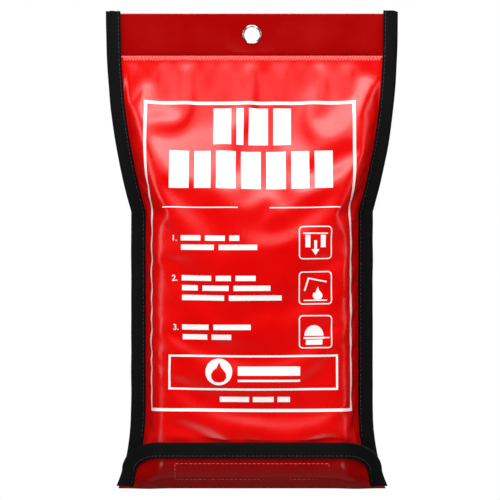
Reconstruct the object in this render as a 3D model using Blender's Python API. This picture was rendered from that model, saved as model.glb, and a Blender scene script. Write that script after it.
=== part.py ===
"""Fire blanket in a soft hanging pouch: a folded glass-fibre blanket inside a taped PVC pouch.

The pouch hangs on a wall by its eyelet and opens at the bottom. Metres, +Z up, the front faces -Y,
the wall is the plane y = 0, and z = 0 is the height of the eyelet's centre.
"""

import math

import bmesh
import bpy
from mathutils import Vector

MM = 0.001

# ---- driving sizes: heights, measured from the eyelet's centre ----
header_top = 13.5 * MM
binding_top = 15.7 * MM
front_top = -13.7 * MM
shoulder = -116.0 * MM

# ---- driving sizes: the folded blanket ----
pack_width = 125.0 * MM
pack_height = 166.0 * MM
pack_depth = 26.0 * MM
pack_edge = 9.0 * MM
pack_headroom = 2.0 * MM

# ---- driving sizes: how the pouch is cut round the blanket ----
side_ease = 7.0 * MM
foot_flare = 20.4 * MM
header_flare = 32.8 * MM
binding_width = 9.3 * MM
edge_inset = 1.5 * MM
wall_clearance = 0.9 * MM
back_clearance = 0.4 * MM
stitch_inset = 1.5 * MM
stitch_foot = 4.0 * MM

# ---- driving sizes: sheet, tape, webbing and thread ----
sheet = 0.5 * MM
tape = 0.6 * MM
strip_depth = 1.0 * MM
webbing = 1.4 * MM
thread = 0.3 * MM
zigzag_thread = 0.5 * MM
zigzag_height = 3.6 * MM
zigzag_pitch = 1.83 * MM
gap = 0.3 * MM

# ---- driving sizes: eyelet ----
eyelet_hole = 10.0 * MM
eyelet_rim = 1.35 * MM
eyelet_wall = 0.4 * MM
eyelet_height = 0.8 * MM
eyelet_edge = 0.25 * MM
washer_depth = 0.5 * MM
washer_edge = 0.3 * MM

# ---- driving sizes: mouth and flap, measured from the blanket's lower front edge ----
mouth_rise = 3.0 * MM
flap_rise = 9.0 * MM
fold_drop = 21.8 * MM
lip_inset = 4.5 * MM
lip_reach = 9.0 * MM
flap_flat_inset = 5.5 * MM
flap_side_inset = 1.0 * MM
flap_corner_inset = 12.8 * MM
flap_corner_height = 14.0 * MM
flap_foot_rise = 2.2 * MM
flap_binding_play = 0.8 / 26.0
flap_binding_extra = 0.7 * MM
flare_height = 33.0 * MM

# ---- driving sizes: hook and loop strips, pull tabs ----
strip_width = 20.0 * MM
strip_inset = 6.0 * MM
strip_stitch_inset = 2.0 * MM
loop_start = -1.0 * MM
hook_clearance = 1.5 * MM
tab_width = 25.0 * MM
tab_spread = 3.5 * MM
tab_clearance = 0.5 * MM
tab_stitch_inset = 2.5 * MM
tab_box_start = 1.5 * MM
tab_box_end = 8.0 * MM

# ---- widths that follow from the blanket's ----
waist_width = pack_width + 2 * (side_ease + binding_width)
foot_width = waist_width + foot_flare
header_width = waist_width + header_flare
lip_width = pack_width - 2 * lip_inset
strip_length = lip_width - 2 * strip_inset
flap_side_half = foot_width / 2 - flap_side_inset
flap_flat_half = pack_width / 2 - flap_flat_inset
flap_corner_half = waist_width / 2 - flap_corner_inset
eyelet_outer = eyelet_hole + 2 * eyelet_rim
# a deeper blanket makes the flap fall more steeply to its sides, and its tape needs more play
flap_binding_gap = flap_binding_play * pack_depth
hook_start = binding_width + flap_binding_extra - flap_rise + hook_clearance
tab_spacing = pack_width / 2 + tab_spread

# ---- layers at the side seam, from the wall forwards ----
pitch = sheet + gap
back_mid = -(tape + gap + sheet / 2)
facing_mid = back_mid - pitch
front_mid = facing_mid - pitch
binding_front_mid = front_mid - sheet / 2 - gap - tape / 2
binding_turn = (-tape / 2 - binding_front_mid) / 2
flap_side_mid = binding_front_mid - tape / 2 - gap - tape - flap_binding_gap - sheet / 2

# ---- the blanket's place, and the heights that follow from it ----
pack_back = -(sheet + back_clearance)
pack_front = pack_back - pack_depth
pack_top = shoulder - pack_headroom
pack_bottom = pack_top - pack_height
edge_y = pack_front + pack_edge
edge_z = pack_bottom + pack_edge
mouth = edge_z + mouth_rise
flap_edge = edge_z + flap_rise
fold = edge_z - fold_drop
flare_start = mouth + flare_height
rise_start = front_top - zigzag_height - 2 * gap
tab_front_rise = mouth_rise - tab_clearance

# ---- layers round the blanket's lower front edge, as radii about that edge's centre ----
tab_radius = pack_edge + gap + webbing / 2
lip_radius = tab_radius + webbing / 2 + gap + sheet / 2
loop_radius = lip_radius + sheet / 2 + gap + strip_depth / 2
loop_thread_radius = loop_radius + strip_depth / 2 + gap + thread / 2
hook_radius = loop_thread_radius + thread / 2 + gap + strip_depth / 2
flap_radius = hook_radius + strip_depth / 2 + gap + sheet / 2
hook_thread_radius = flap_radius + sheet / 2 + gap + thread / 2
front_panel_mid = edge_y - lip_radius
front_rise = front_mid - front_panel_mid

# ---- how sharply the shapes turn, and the small working distances ----
section_power = 11.0
drawn_power = 2.3
flare_power = 2.5
slope_probe = 0.2 * MM
punch_length = 20.0 * MM
pivot_size = 10.0 * MM
merge_distance = 0.01 * MM


def smooth_step(value):
    value = min(max(value, 0.0), 1.0)
    return value * value * (3.0 - 2.0 * value)


def outer_half(z):
    """Half of the taped width: full at the header, drawn in over the blanket, flared at the foot."""
    if z > flare_start:
        drawn = min(max((header_top - z) / (header_top - shoulder), 0.0), 1.0) ** drawn_power
        return (header_width - (header_width - waist_width) * drawn) / 2
    flare = min((flare_start - z) / (flare_start - fold), 1.0) ** flare_power
    return (waist_width + (foot_width - waist_width) * flare) / 2


def section_half(z):
    """Half of the width over which the front panel stands off the seam."""
    return outer_half(z) - binding_width - wall_clearance


def fill(z):
    """How far the front panel is pushed out, from 0 at its top seam to 1 over the blanket."""
    return math.sin(math.pi / 2 * min(max((rise_start - z) / (rise_start - shoulder), 0.0), 1.0))


def crown(x, half, power):
    return math.sqrt(max(1.0 - min(abs(x) / half, 1.0) ** power, 0.0))


# ---- the path of every layer that wraps the blanket's lower front edge ----
root_y = back_mid
to_edge = Vector((edge_y - root_y, edge_z - fold))
slope_turn = math.atan2(-to_edge.x, to_edge.y) + math.asin(flap_radius / to_edge.length)
slope_length = math.sqrt(to_edge.length ** 2 - flap_radius ** 2)


def wrapped(distance, radius):
    """(y, z) on a layer, with distance along the flap's own path: 0 at the foot of the straight
    front, negative above it, positive round the edge and then down the slope to the fold."""
    turn = min(max(distance / flap_radius, 0.0), slope_turn)
    y = edge_y - radius * math.cos(turn)
    z = edge_z - radius * math.sin(turn)
    above = max(-distance, 0.0)
    along = max(distance - flap_radius * slope_turn, 0.0)
    return y + along * math.sin(slope_turn), z + above - along * math.cos(slope_turn)


arc_length = flap_radius * slope_turn
flap_end = arc_length + slope_length
flap_start = -(flap_edge - edge_z)


def flap_half(z):
    """Half of the flap's width, with its upper corners rounded."""
    into_corner = z - (flap_edge - flap_corner_height)
    if into_corner <= 0.0:
        return outer_half(z)
    full = outer_half(flap_edge - flap_corner_height)
    share = min(into_corner / flap_corner_height, 1.0)
    return flap_corner_half + (full - flap_corner_half) * math.sqrt(1.0 - share ** 2)


def flap_fall(x):
    """1 where the flap lies over the blanket, easing to 0 where it lies on the side tapes."""
    return 1.0 - smooth_step((abs(x) - flap_flat_half) / (flap_side_half - flap_flat_half))


def on_flap(x, y):
    """A layer's centre depth y, brought back to the side tapes away from the blanket."""
    if y > flap_side_mid:
        return y
    return flap_side_mid + (y - flap_side_mid) * flap_fall(x)


# ---- scene, materials and the shared ways of making a piece ----
def clear_scene():
    for item in list(bpy.data.objects):
        bpy.data.objects.remove(item, do_unlink=True)


def make_material(name, colour, roughness, metallic=0.0):
    made = bpy.data.materials.new(name)
    made.use_nodes = True
    shader = made.node_tree.nodes["Principled BSDF"]
    shader.inputs["Base Color"].default_value = (*colour, 1.0)
    shader.inputs["Roughness"].default_value = roughness
    shader.inputs["Metallic"].default_value = metallic
    made.diffuse_color = (*colour, 1.0)
    return made


def add_object(name, data, finish, parent=None):
    """Link a piece whose data is in world coordinates, and keep it there under its parent."""
    piece = bpy.data.objects.new(name, data)
    bpy.context.scene.collection.objects.link(piece)
    piece.data.materials.append(finish)
    if parent:
        piece.parent = parent
        piece.location = -parent.location
    return piece


def add_pivot(name, place, parent=None):
    """An empty on a joint's axis, which the moving pieces hang from."""
    pivot = bpy.data.objects.new(name, None)
    pivot.empty_display_size = pivot_size
    bpy.context.scene.collection.objects.link(pivot)
    pivot.location = place
    if parent:
        pivot.parent = parent
        pivot.location = Vector(place) - parent.location
    return pivot


def sheet_piece(name, columns, rows, place, thickness, finish, parent=None, even=True):
    """A grid laid out by place(across, along), both 0 to 1, thickened equally to both sides."""
    mesh = bmesh.new()
    bmesh.ops.create_grid(mesh, x_segments=columns, y_segments=rows, size=0.5)
    for point in mesh.verts:
        point.co = Vector(place(point.co.x + 0.5, point.co.y + 0.5))
    bmesh.ops.recalc_face_normals(mesh, faces=mesh.faces)
    data = bpy.data.meshes.new(name)
    mesh.to_mesh(data)
    mesh.free()
    piece = add_object(name, data, finish, parent)
    data.shade_smooth()
    data.set_sharp_from_angle(angle=math.radians(40))
    solid = piece.modifiers.new("thickness", "SOLIDIFY")
    solid.thickness = thickness
    solid.offset = 0.0
    solid.use_even_offset = even
    return piece


def thread_piece(name, points, diameter, finish, parent=None, closed=False):
    """A sewing thread as a thin tube through its points."""
    curve = bpy.data.curves.new(name, "CURVE")
    curve.dimensions = "3D"
    curve.bevel_depth = diameter / 2
    curve.bevel_resolution = 0
    curve.use_fill_caps = True
    line = curve.splines.new("POLY")
    line.points.add(len(points) - 1)
    for knot, place in zip(line.points, points):
        knot.co = (*place, 1.0)
    line.use_cyclic_u = closed
    return add_object(name, curve, finish, parent)


def hem_section(share, inner_reach, leg_gap):
    """A tape folded over an edge: (distance in from the tape's outer fold, side from -1 to 1)."""
    turn = leg_gap / 2
    leg = inner_reach - turn
    length = 2 * leg + math.pi * turn
    travelled = share * length
    if travelled < leg:
        return inner_reach - travelled, -1.0
    if travelled > leg + math.pi * turn:
        return turn + travelled - leg - math.pi * turn, 1.0
    angle = (travelled - leg) / turn
    return turn - turn * math.sin(angle), -math.cos(angle)


def section_shares(inner_reach, leg_gap, leg_steps, turn_steps):
    """Where a folded tape's points lie: even steps on its legs and closer ones round its fold."""
    turn = leg_gap / 2
    leg = inner_reach - turn
    length = 2 * leg + math.pi * turn
    first = [leg / length * step / leg_steps for step in range(leg_steps)]
    middle = [(leg + math.pi * turn * step / turn_steps) / length for step in range(turn_steps + 1)]
    last = [1.0 - share for share in reversed(first)]
    return first + middle + last


# ---- pouch: the back panel with its folded header, the front panel, tapes, eyelet and seam ----
def back_bulge(x, z):
    """0 at the seams, 1 where the blanket lies or passes on its way out and presses on the wall."""
    across = 1.0 - smooth_step((abs(x) - (pack_width / 2 - pack_edge)) / pack_edge)
    over = smooth_step((shoulder - z) / pack_edge)
    return across * over


def make_back_panel(finish):
    turn = pitch / 2
    panel_foot = fold + sheet / 2 + gap
    facing_foot = front_top - zigzag_height
    back_rows = 26
    turn_rows = 4
    facing_rows = 3
    rows = back_rows + turn_rows + facing_rows

    def place(across, along):
        step = round(along * rows)
        if step <= back_rows:
            z = panel_foot + (header_top - turn - panel_foot) * step / back_rows
            y = back_mid
        elif step < back_rows + turn_rows:
            angle = math.pi * (step - back_rows) / turn_rows
            y = back_mid - turn + turn * math.cos(angle)
            z = header_top - turn + turn * math.sin(angle)
        else:
            share = (step - back_rows - turn_rows) / facing_rows
            z = header_top - turn + (facing_foot - header_top + turn) * share
            y = facing_mid
        x = (outer_half(z) - edge_inset) * (2 * across - 1)
        if step <= back_rows:
            y += (-sheet / 2 - back_mid) * back_bulge(x, z)
        return x, y, z

    panel = sheet_piece("back_panel", 14, rows, place, sheet, finish)
    bpy.ops.mesh.primitive_cylinder_add(
        vertices=32,
        radius=eyelet_hole / 2 + eyelet_wall + gap,
        depth=punch_length,
        rotation=(math.pi / 2, 0.0, 0.0),
    )
    punch = bpy.context.object
    punch.name = "eyelet_punch"
    punch.hide_render = True
    punch.display_type = "WIRE"
    cut = panel.modifiers.new("eyelet hole", "BOOLEAN")
    cut.operation = "DIFFERENCE"
    cut.object = punch


def make_front_panel(finish):
    quarter = 8
    flange = 1
    columns = 2 * (quarter + flange)
    rows = 22

    def place(across, along):
        row = round(along * rows)
        z = front_top if row == rows else mouth + (rise_start - mouth) * row / (rows - 1)
        half = section_half(z)
        step = round(across * columns) - columns // 2
        side = math.copysign(1.0, step)
        if abs(step) <= quarter:
            power = 2.0 + (section_power - 2.0) * fill(z)
            angle = math.pi / 2 * abs(step) / quarter
            x = side * half * math.sin(angle) ** (2.0 / power)
            return x, front_mid - front_rise * fill(z) * math.cos(angle), z
        reach = outer_half(z) - edge_inset - half
        return side * (half + reach * (abs(step) - quarter) / flange), front_mid, z

    sheet_piece("front_panel", columns, rows, place, sheet, finish)


def make_side_bindings(finish, thread_finish):
    foot = fold + sheet / 2 + 4 * gap
    leg_gap = 2 * binding_turn
    shares = section_shares(binding_width, leg_gap, 2, 6)
    centre = (-tape / 2 + binding_front_mid) / 2
    rows = 30

    for name, side in (("left", -1.0), ("right", 1.0)):

        def place(across, along, side=side):
            z = foot + (binding_top - foot) * along
            share = shares[round(across * (len(shares) - 1))]
            inset, face = hem_section(share, binding_width, leg_gap)
            return side * (outer_half(z) - inset), centre - face * binding_turn, z

        sheet_piece(f"{name}_binding", len(shares) - 1, rows, place, tape, finish)

        stitch_y = binding_front_mid - tape / 2 - gap - thread / 2
        inset = binding_width - stitch_inset
        top = binding_top - stitch_inset
        bottom = flap_edge + stitch_foot
        count = 40
        heights = [top + (bottom - top) * step / count for step in range(count + 1)]
        line = [(side * (outer_half(z) - inset), stitch_y, z) for z in heights]
        thread_piece(f"{name}_binding_stitching", line, thread, thread_finish)


def make_header_seam(finish):
    y = front_mid - sheet / 2 - gap - zigzag_thread / 2
    high = front_top - zigzag_thread
    low = front_top - zigzag_height
    reach = outer_half(front_top) - binding_width - zigzag_thread - gap
    count = 2 * int(reach / zigzag_pitch)
    line = []
    for step in range(2 * count + 1):
        x = (step - count) * zigzag_pitch / 2
        line.append((x, y, high if step % 2 else low))
    thread_piece("header_seam_stitching", line, zigzag_thread, finish)


def turned_ring(name, profile, finish):
    """A ring about the eyelet's axis, spun from (radius, y) points."""
    mesh = bmesh.new()
    points = [mesh.verts.new((radius, y, 0.0)) for radius, y in profile]
    edges = [mesh.edges.new((points[i - 1], points[i])) for i in range(len(points))]
    bmesh.ops.spin(
        mesh,
        geom=points + edges,
        cent=(0.0, 0.0, 0.0),
        axis=(0.0, 1.0, 0.0),
        angle=2 * math.pi,
        steps=36,
        use_merge=True,
    )
    bmesh.ops.remove_doubles(mesh, verts=mesh.verts, dist=merge_distance)
    bmesh.ops.recalc_face_normals(mesh, faces=mesh.faces)
    data = bpy.data.meshes.new(name)
    mesh.to_mesh(data)
    mesh.free()
    data.shade_smooth()
    data.set_sharp_from_angle(angle=math.radians(50))
    add_object(name, data, finish)


def make_eyelet(finish):
    bore = eyelet_hole / 2
    barrel = bore + eyelet_wall
    rim = eyelet_outer / 2
    front = facing_mid - sheet / 2 - gap
    crest = front - eyelet_height
    back = back_mid + sheet / 2 + gap
    body = [
        (bore, back + eyelet_edge),
        (barrel, back + eyelet_edge),
        (barrel, front),
        (rim, front),
        (rim, front - eyelet_edge),
        (rim - eyelet_edge, crest + eyelet_edge / 2),
        ((rim + bore) / 2, crest),
        (bore + eyelet_edge, crest + eyelet_edge),
        (bore, front - eyelet_edge),
    ]
    turned_ring("eyelet", body, finish)
    washer_bore = barrel + gap
    washer = [
        (washer_bore, back),
        (rim, back),
        (rim, back + washer_edge),
        (rim - washer_edge, back + washer_depth),
        (washer_bore, back + washer_depth),
    ]
    turned_ring("eyelet_washer", washer, finish)


# ---- mouth: the front panel's free lower end, with the loop strip ----
def lip_place(half, start, length, radius):
    """A layer on the front panel's lower end, half its width wide, length long from start."""

    def place(across, along):
        x = half * (2 * across - 1)
        y, z = wrapped(start + length * along, radius)
        crest = crown(x, section_half(mouth), section_power)
        return x, front_mid + (y - front_mid) * crest, z

    return place


lip_start = gap - mouth_rise
lip_end = arc_length + lip_reach


strip_columns = 22
strip_rows = 8


def strip_stitches(layer):
    """Points once round a strip, inset from its edges, in the layer's own 0 to 1 grid."""
    low_x = strip_stitch_inset / strip_length
    low_s = strip_stitch_inset / strip_width
    across = [low_x + (1 - 2 * low_x) * i / strip_columns for i in range(strip_columns)]
    along = [low_s + (1 - 2 * low_s) * i / strip_rows for i in range(strip_rows)]
    line = [layer(u, low_s) for u in across]
    line += [layer(1 - low_x, v) for v in along]
    line += [layer(1 - u, 1 - low_s) for u in across]
    line += [layer(low_x, 1 - v) for v in along]
    return line


def make_mouth(sheet_finish, strip_finish, thread_finish):
    pivot = add_pivot("mouth_pivot", (0.0, front_panel_mid, mouth))
    lip = lip_place(lip_width / 2, lip_start, lip_end - lip_start, lip_radius)
    sheet_piece("mouth_lip", 24, 12, lip, sheet, sheet_finish, pivot)
    loop = lip_place(strip_length / 2, loop_start, strip_width, loop_radius)
    sheet_piece("loop_strip", strip_columns, strip_rows, loop, strip_depth, strip_finish, pivot)
    face = lip_place(strip_length / 2, loop_start, strip_width, loop_thread_radius)
    line = strip_stitches(face)
    thread_piece("loop_strip_stitching", line, thread, thread_finish, pivot, closed=True)


# ---- flap: the back panel's foot, folded up over the mouth ----
def flap_layer(half, start, length, radius):
    """A strip on the flap, of even width."""

    def place(across, along):
        x = half * (2 * across - 1)
        y, z = wrapped(start + length * along, radius)
        return x, on_flap(x, y), z

    return place


def flap_surface(x, z):
    """The flap's centre depth at a place seen from the front."""
    if z >= edge_z:
        y = edge_y - flap_radius
    elif z > edge_z - flap_radius * math.sin(slope_turn):
        y = edge_y - math.sqrt(flap_radius ** 2 - (edge_z - z) ** 2)
    else:
        y = root_y - (z - fold) * math.tan(slope_turn)
    return on_flap(x, y)


def flap_normal(x, z):
    """The way out of the flap's front face."""
    by_x = flap_surface(x + slope_probe, z) - flap_surface(x - slope_probe, z)
    by_z = flap_surface(x, z + slope_probe) - flap_surface(x, z - slope_probe)
    return Vector((by_x, -2 * slope_probe, by_z)).normalized()


def make_flap_panel(finish, pivot):
    slope_rows = 3
    arc_rows = 7
    front_rows = 4
    rows = front_rows + arc_rows + slope_rows + 1
    top = flap_start + edge_inset
    side_bend = (root_y - flap_side_mid) / math.sin(slope_turn)
    slope_end = flap_end - side_bend

    def place(across, along):
        step = round(along * rows)
        if step <= front_rows:
            distance = top * (1.0 - step / front_rows)
        elif step <= front_rows + arc_rows:
            distance = arc_length * (step - front_rows) / arc_rows
        elif step < rows:
            share = (step - front_rows - arc_rows) / slope_rows
            distance = arc_length + (slope_end - arc_length) * share
        else:
            distance = flap_end
        y, z = wrapped(distance, flap_radius)
        x = (flap_half(z + edge_inset) - edge_inset) * (2 * across - 1)
        return x, on_flap(x, y), z

    sheet_piece("flap_panel", 44, rows, place, sheet, finish, pivot)


def flap_outline():
    """(x, z) along the flap's taped edge, from the left foot over the top to the right foot."""
    foot = fold + flap_foot_rise
    corner = flap_edge - flap_corner_height
    side_steps = 5
    corner_steps = 8
    top_steps = 24
    right = []
    for step in range(side_steps):
        z = foot + (corner - foot) * step / side_steps
        right.append((outer_half(z), z))
    full = outer_half(corner)
    for step in range(corner_steps):
        angle = math.pi / 2 * step / corner_steps
        x = flap_corner_half + (full - flap_corner_half) * math.cos(angle)
        right.append((x, corner + flap_corner_height * math.sin(angle)))
    for step in range(top_steps // 2):
        right.append((flap_corner_half * (1.0 - 2.0 * step / top_steps), flap_edge))
    left = [(-x, z) for x, z in right]
    return left + [(0.0, flap_edge)] + right[::-1]


def make_flap_binding(finish, thread_finish, pivot):
    outline = flap_outline()
    leg_gap = sheet + 2 * flap_binding_gap + tape
    reach = binding_width + flap_binding_extra
    shares = section_shares(reach, leg_gap, 4, 4)
    last = len(outline) - 1

    def inward(step):
        ahead = Vector(outline[min(step + 1, last)])
        behind = Vector(outline[max(step - 1, 0)])
        run = (ahead - behind).normalized()
        return Vector((run.y, -run.x))

    def place(across, along):
        step = round(along * last)
        inset, face = hem_section(shares[round(across * (len(shares) - 1))], reach, leg_gap)
        spot = Vector(outline[step]) + inward(step) * inset
        spot.y = max(spot.y, fold + flap_foot_rise)
        centre = Vector((spot.x, flap_surface(spot.x, spot.y), spot.y))
        return centre + flap_normal(spot.x, spot.y) * (face * leg_gap / 2)

    sheet_piece("flap_binding", len(shares) - 1, last, place, tape, finish, pivot, even=False)

    lift = leg_gap / 2 + tape / 2 + gap + thread / 2
    line = []
    for step in range(2, last - 1):
        spot = Vector(outline[step]) + inward(step) * (reach - stitch_inset)
        centre = Vector((spot.x, flap_surface(spot.x, spot.y), spot.y))
        line.append(centre + flap_normal(spot.x, spot.y) * lift)
    thread_piece("flap_binding_stitching", line, thread, thread_finish, pivot)


def make_flap(sheet_finish, tape_finish, strip_finish, thread_finish):
    pivot = add_pivot("flap_pivot", (0.0, root_y, fold))
    make_flap_panel(sheet_finish, pivot)
    make_flap_binding(tape_finish, thread_finish, pivot)
    hook = flap_layer(strip_length / 2, hook_start, strip_width, hook_radius)
    sheet_piece("hook_strip", strip_columns, strip_rows, hook, strip_depth, strip_finish, pivot)
    face = flap_layer(strip_length / 2, hook_start, strip_width, hook_thread_radius)
    line = strip_stitches(face)
    thread_piece("hook_strip_stitching", line, thread, thread_finish, pivot, closed=True)


# ---- blanket: the folded pack and its two pull tabs ----
def make_blanket(finish):
    pivot = add_pivot("blanket_pivot", (0.0, (pack_front + pack_back) / 2, pack_bottom))
    mesh = bmesh.new()
    bmesh.ops.create_cube(mesh, size=1.0)
    bmesh.ops.scale(mesh, vec=(pack_width, pack_depth, pack_height), verts=mesh.verts)
    middle = (0.0, (pack_front + pack_back) / 2, (pack_top + pack_bottom) / 2)
    bmesh.ops.translate(mesh, vec=middle, verts=mesh.verts)
    bmesh.ops.bevel(
        mesh,
        geom=mesh.edges[:],
        offset=pack_edge,
        offset_type="OFFSET",
        affect="EDGES",
        segments=5,
        profile=0.5,
        material=-1,
    )
    data = bpy.data.meshes.new("blanket")
    mesh.to_mesh(data)
    mesh.free()
    data.shade_smooth()
    data.set_sharp_from_angle(angle=math.radians(40))
    add_object("blanket", data, finish, pivot)
    return pivot


def tab_path(offset):
    """(y, z) along a tab: under the pack, round its lower front edge and up its front."""
    radius = pack_edge + offset
    steps = 9
    start = pack_back - pack_edge / 2
    flat = [start + (edge_y - start) * step / 4 for step in range(4)]
    line = [(y, pack_bottom - offset) for y in flat]
    for step in range(steps):
        angle = math.pi / 2 * step / (steps - 1)
        line.append((edge_y - radius * math.sin(angle), edge_z - radius * math.cos(angle)))
    line.append((edge_y - radius, edge_z + tab_front_rise))
    return line


def make_tabs(finish, thread_finish, blanket_pivot):
    middle = gap + webbing / 2
    path = tab_path(middle)
    face = gap + webbing + gap + thread / 2
    stitch_path = tab_path(face)
    for name, side in (("left", -1.0), ("right", 1.0)):
        centre = side * tab_spacing / 2
        root = Vector((centre, path[0][0], path[0][1]))
        pivot = add_pivot(f"{name}_tab_pivot", root, blanket_pivot)

        def place(across, along, centre=centre):
            y, z = path[round(along * (len(path) - 1))]
            return centre + tab_width * (across - 0.5), y, z

        tab = sheet_piece(f"{name}_pull_tab", 4, len(path) - 1, place, webbing, finish)
        tab.parent = pivot
        tab.location = -root

        reach = tab_width / 2 - tab_stitch_inset
        near = stitch_path[0][0] - tab_box_start
        far = stitch_path[0][0] - tab_box_end
        z = stitch_path[0][1]
        corners = [(-reach, near), (reach, near), (reach, far), (-reach, far)]
        line = [(centre + x, y, z) for x, y in corners]
        box = thread_piece(f"{name}_tab_stitching", line, thread, thread_finish, closed=True)
        box.parent = pivot
        box.location = -root


def main():
    clear_scene()
    red_sheet = make_material("red PVC sheet", (0.72, 0.006, 0.008), 0.32)
    black_tape = make_material("black polyester tape", (0.012, 0.012, 0.013), 0.8)
    black_strip = make_material("black hook and loop tape", (0.018, 0.018, 0.019), 0.95)
    black_thread = make_material("black polyester thread", (0.02, 0.02, 0.02), 0.6)
    red_thread = make_material("red polyester thread", (0.6, 0.02, 0.03), 0.6)
    nickel = make_material("nickel plate", (0.72, 0.7, 0.67), 0.22, 1.0)
    glass_cloth = make_material("woven glass fibre", (0.85, 0.84, 0.8), 0.7)
    webbing_black = make_material("black webbing", (0.015, 0.015, 0.016), 0.85)

    make_back_panel(red_sheet)
    make_front_panel(red_sheet)
    make_side_bindings(black_tape, black_thread)
    make_header_seam(red_thread)
    make_eyelet(nickel)
    make_mouth(red_sheet, black_strip, red_thread)
    make_flap(red_sheet, black_tape, black_strip, red_thread)
    blanket_pivot = make_blanket(glass_cloth)
    make_tabs(webbing_black, black_thread, blanket_pivot)


main()
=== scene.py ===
# Fire blanket in a soft hanging pouch: the looks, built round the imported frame.
# Metres, +Z up, the front faces -Y, the wall is y = 0 and z = 0 is the eyelet's centre.
import math

import bmesh
import bpy
import numpy as np
from mathutils import Matrix, Vector, noise


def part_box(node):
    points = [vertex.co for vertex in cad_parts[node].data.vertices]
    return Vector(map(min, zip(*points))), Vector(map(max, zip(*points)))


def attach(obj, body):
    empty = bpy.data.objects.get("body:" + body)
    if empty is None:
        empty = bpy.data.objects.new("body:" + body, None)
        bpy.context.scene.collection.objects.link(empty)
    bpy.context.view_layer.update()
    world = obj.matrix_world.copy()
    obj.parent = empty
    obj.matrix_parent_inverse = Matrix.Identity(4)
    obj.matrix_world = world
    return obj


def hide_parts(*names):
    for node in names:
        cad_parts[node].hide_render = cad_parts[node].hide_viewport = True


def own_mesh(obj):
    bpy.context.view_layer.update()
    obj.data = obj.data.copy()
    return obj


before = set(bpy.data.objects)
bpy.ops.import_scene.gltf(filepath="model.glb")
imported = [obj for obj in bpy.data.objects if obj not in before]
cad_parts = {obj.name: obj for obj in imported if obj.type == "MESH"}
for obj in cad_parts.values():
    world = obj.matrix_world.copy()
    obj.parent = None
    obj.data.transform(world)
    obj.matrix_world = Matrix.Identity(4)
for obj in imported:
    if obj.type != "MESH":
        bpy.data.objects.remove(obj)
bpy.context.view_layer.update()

mm = 0.001
packLow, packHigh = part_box("blanket")
panelLow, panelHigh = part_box("front_panel")
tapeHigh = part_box("right_binding")[1]

# what the pouch is made of: change these and every piece below follows
pouch = {
    "sheet": 0.5 * mm,
    "tape": 0.6 * mm,
    "strip": 1.0 * mm,
    "webbing": 1.4 * mm,
    "thread": 0.3 * mm,
    "gap": 0.3 * mm,
    "tapeWidth": 9.3 * mm,
    "packEdge": 9.0 * mm,
    "headerTop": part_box("back_panel")[1].z,
    "tapeTop": tapeHigh.z,
    "headerHalf": tapeHigh.x - 0.3 * mm,
    "waistHalf": packHigh.x + 16.3 * mm,
    "footHalf": packHigh.x + 26.5 * mm,
    "frontTop": panelHigh.z,
    "mouth": panelLow.z,
    "shoulder": packHigh.z + 2.0 * mm,
    "seamHeight": 3.6 * mm,
    "edgeInset": 1.5 * mm,
    "wallClearance": 0.9 * mm,
    "sectionPower": 11.0,
}
sheet, tape, gap, thread = pouch["sheet"], pouch["tape"], pouch["gap"], pouch["thread"]
edgeY = packLow.y + pouch["packEdge"]
edgeZ = packLow.z + pouch["packEdge"]
foldZ = edgeZ - 21.8 * mm
flapEdgeZ = edgeZ + 9.0 * mm
flareStart = pouch["mouth"] + 33.0 * mm
riseStart = pouch["frontTop"] - pouch["seamHeight"] - 2 * gap

# layers at the side seam, from the wall forwards
pitch = sheet + gap
backMid = -(tape + gap + sheet / 2)
facingMid = backMid - pitch
frontMid = facingMid - pitch
tapeFrontMid = frontMid - sheet / 2 - gap - tape / 2
flapBindingGap = 0.8 * mm
flapSideMid = tapeFrontMid - tape / 2 - gap - tape - flapBindingGap - sheet / 2

# layers round the blanket's lower front edge, as radii about that edge
tabRadius = pouch["packEdge"] + gap + pouch["webbing"] / 2
lipRadius = tabRadius + pouch["webbing"] / 2 + gap + sheet / 2
loopRadius = lipRadius + sheet / 2 + gap + pouch["strip"] / 2
loopThreadRadius = loopRadius + pouch["strip"] / 2 + gap + thread / 2
hookRadius = loopThreadRadius + thread / 2 + gap + pouch["strip"] / 2
flapRadius = hookRadius + pouch["strip"] / 2 + gap + sheet / 2
hookThreadRadius = flapRadius + sheet / 2 + thread / 4
frontPanelMid = edgeY - lipRadius
frontRise = frontMid - frontPanelMid


def clamp(value, low=0.0, high=1.0):
    return min(max(value, low), high)


def smoothStep(value):
    value = clamp(value)
    return value * value * (3.0 - 2.0 * value)


def outerHalf(z):
    # half of the taped width: full at the header, drawn in over the blanket, flared at the foot
    if z > flareStart:
        drawn = clamp((pouch["headerTop"] - z) / (pouch["headerTop"] - pouch["shoulder"])) ** 2.3
        return pouch["headerHalf"] - (pouch["headerHalf"] - pouch["waistHalf"]) * drawn
    flare = min((flareStart - z) / (flareStart - foldZ), 1.0) ** 2.5
    return pouch["waistHalf"] + (pouch["footHalf"] - pouch["waistHalf"]) * flare


def sectionHalf(z):
    return outerHalf(z) - pouch["tapeWidth"] - pouch["wallClearance"]


def fill(z):
    # how far the front panel is pushed out, 0 at its top seam and 1 over the blanket
    return math.sin(math.pi / 2 * clamp((riseStart - z) / (riseStart - pouch["shoulder"])))


def crown(x, half, power):
    return math.sqrt(max(1.0 - min(abs(x) / half, 1.0) ** power, 0.0))


toEdge = Vector((edgeY - backMid, edgeZ - foldZ))
slopeTurn = math.atan2(-toEdge.x, toEdge.y) + math.asin(flapRadius / toEdge.length)
arcLength = flapRadius * slopeTurn
flapEnd = arcLength + math.sqrt(toEdge.length ** 2 - flapRadius ** 2)


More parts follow.
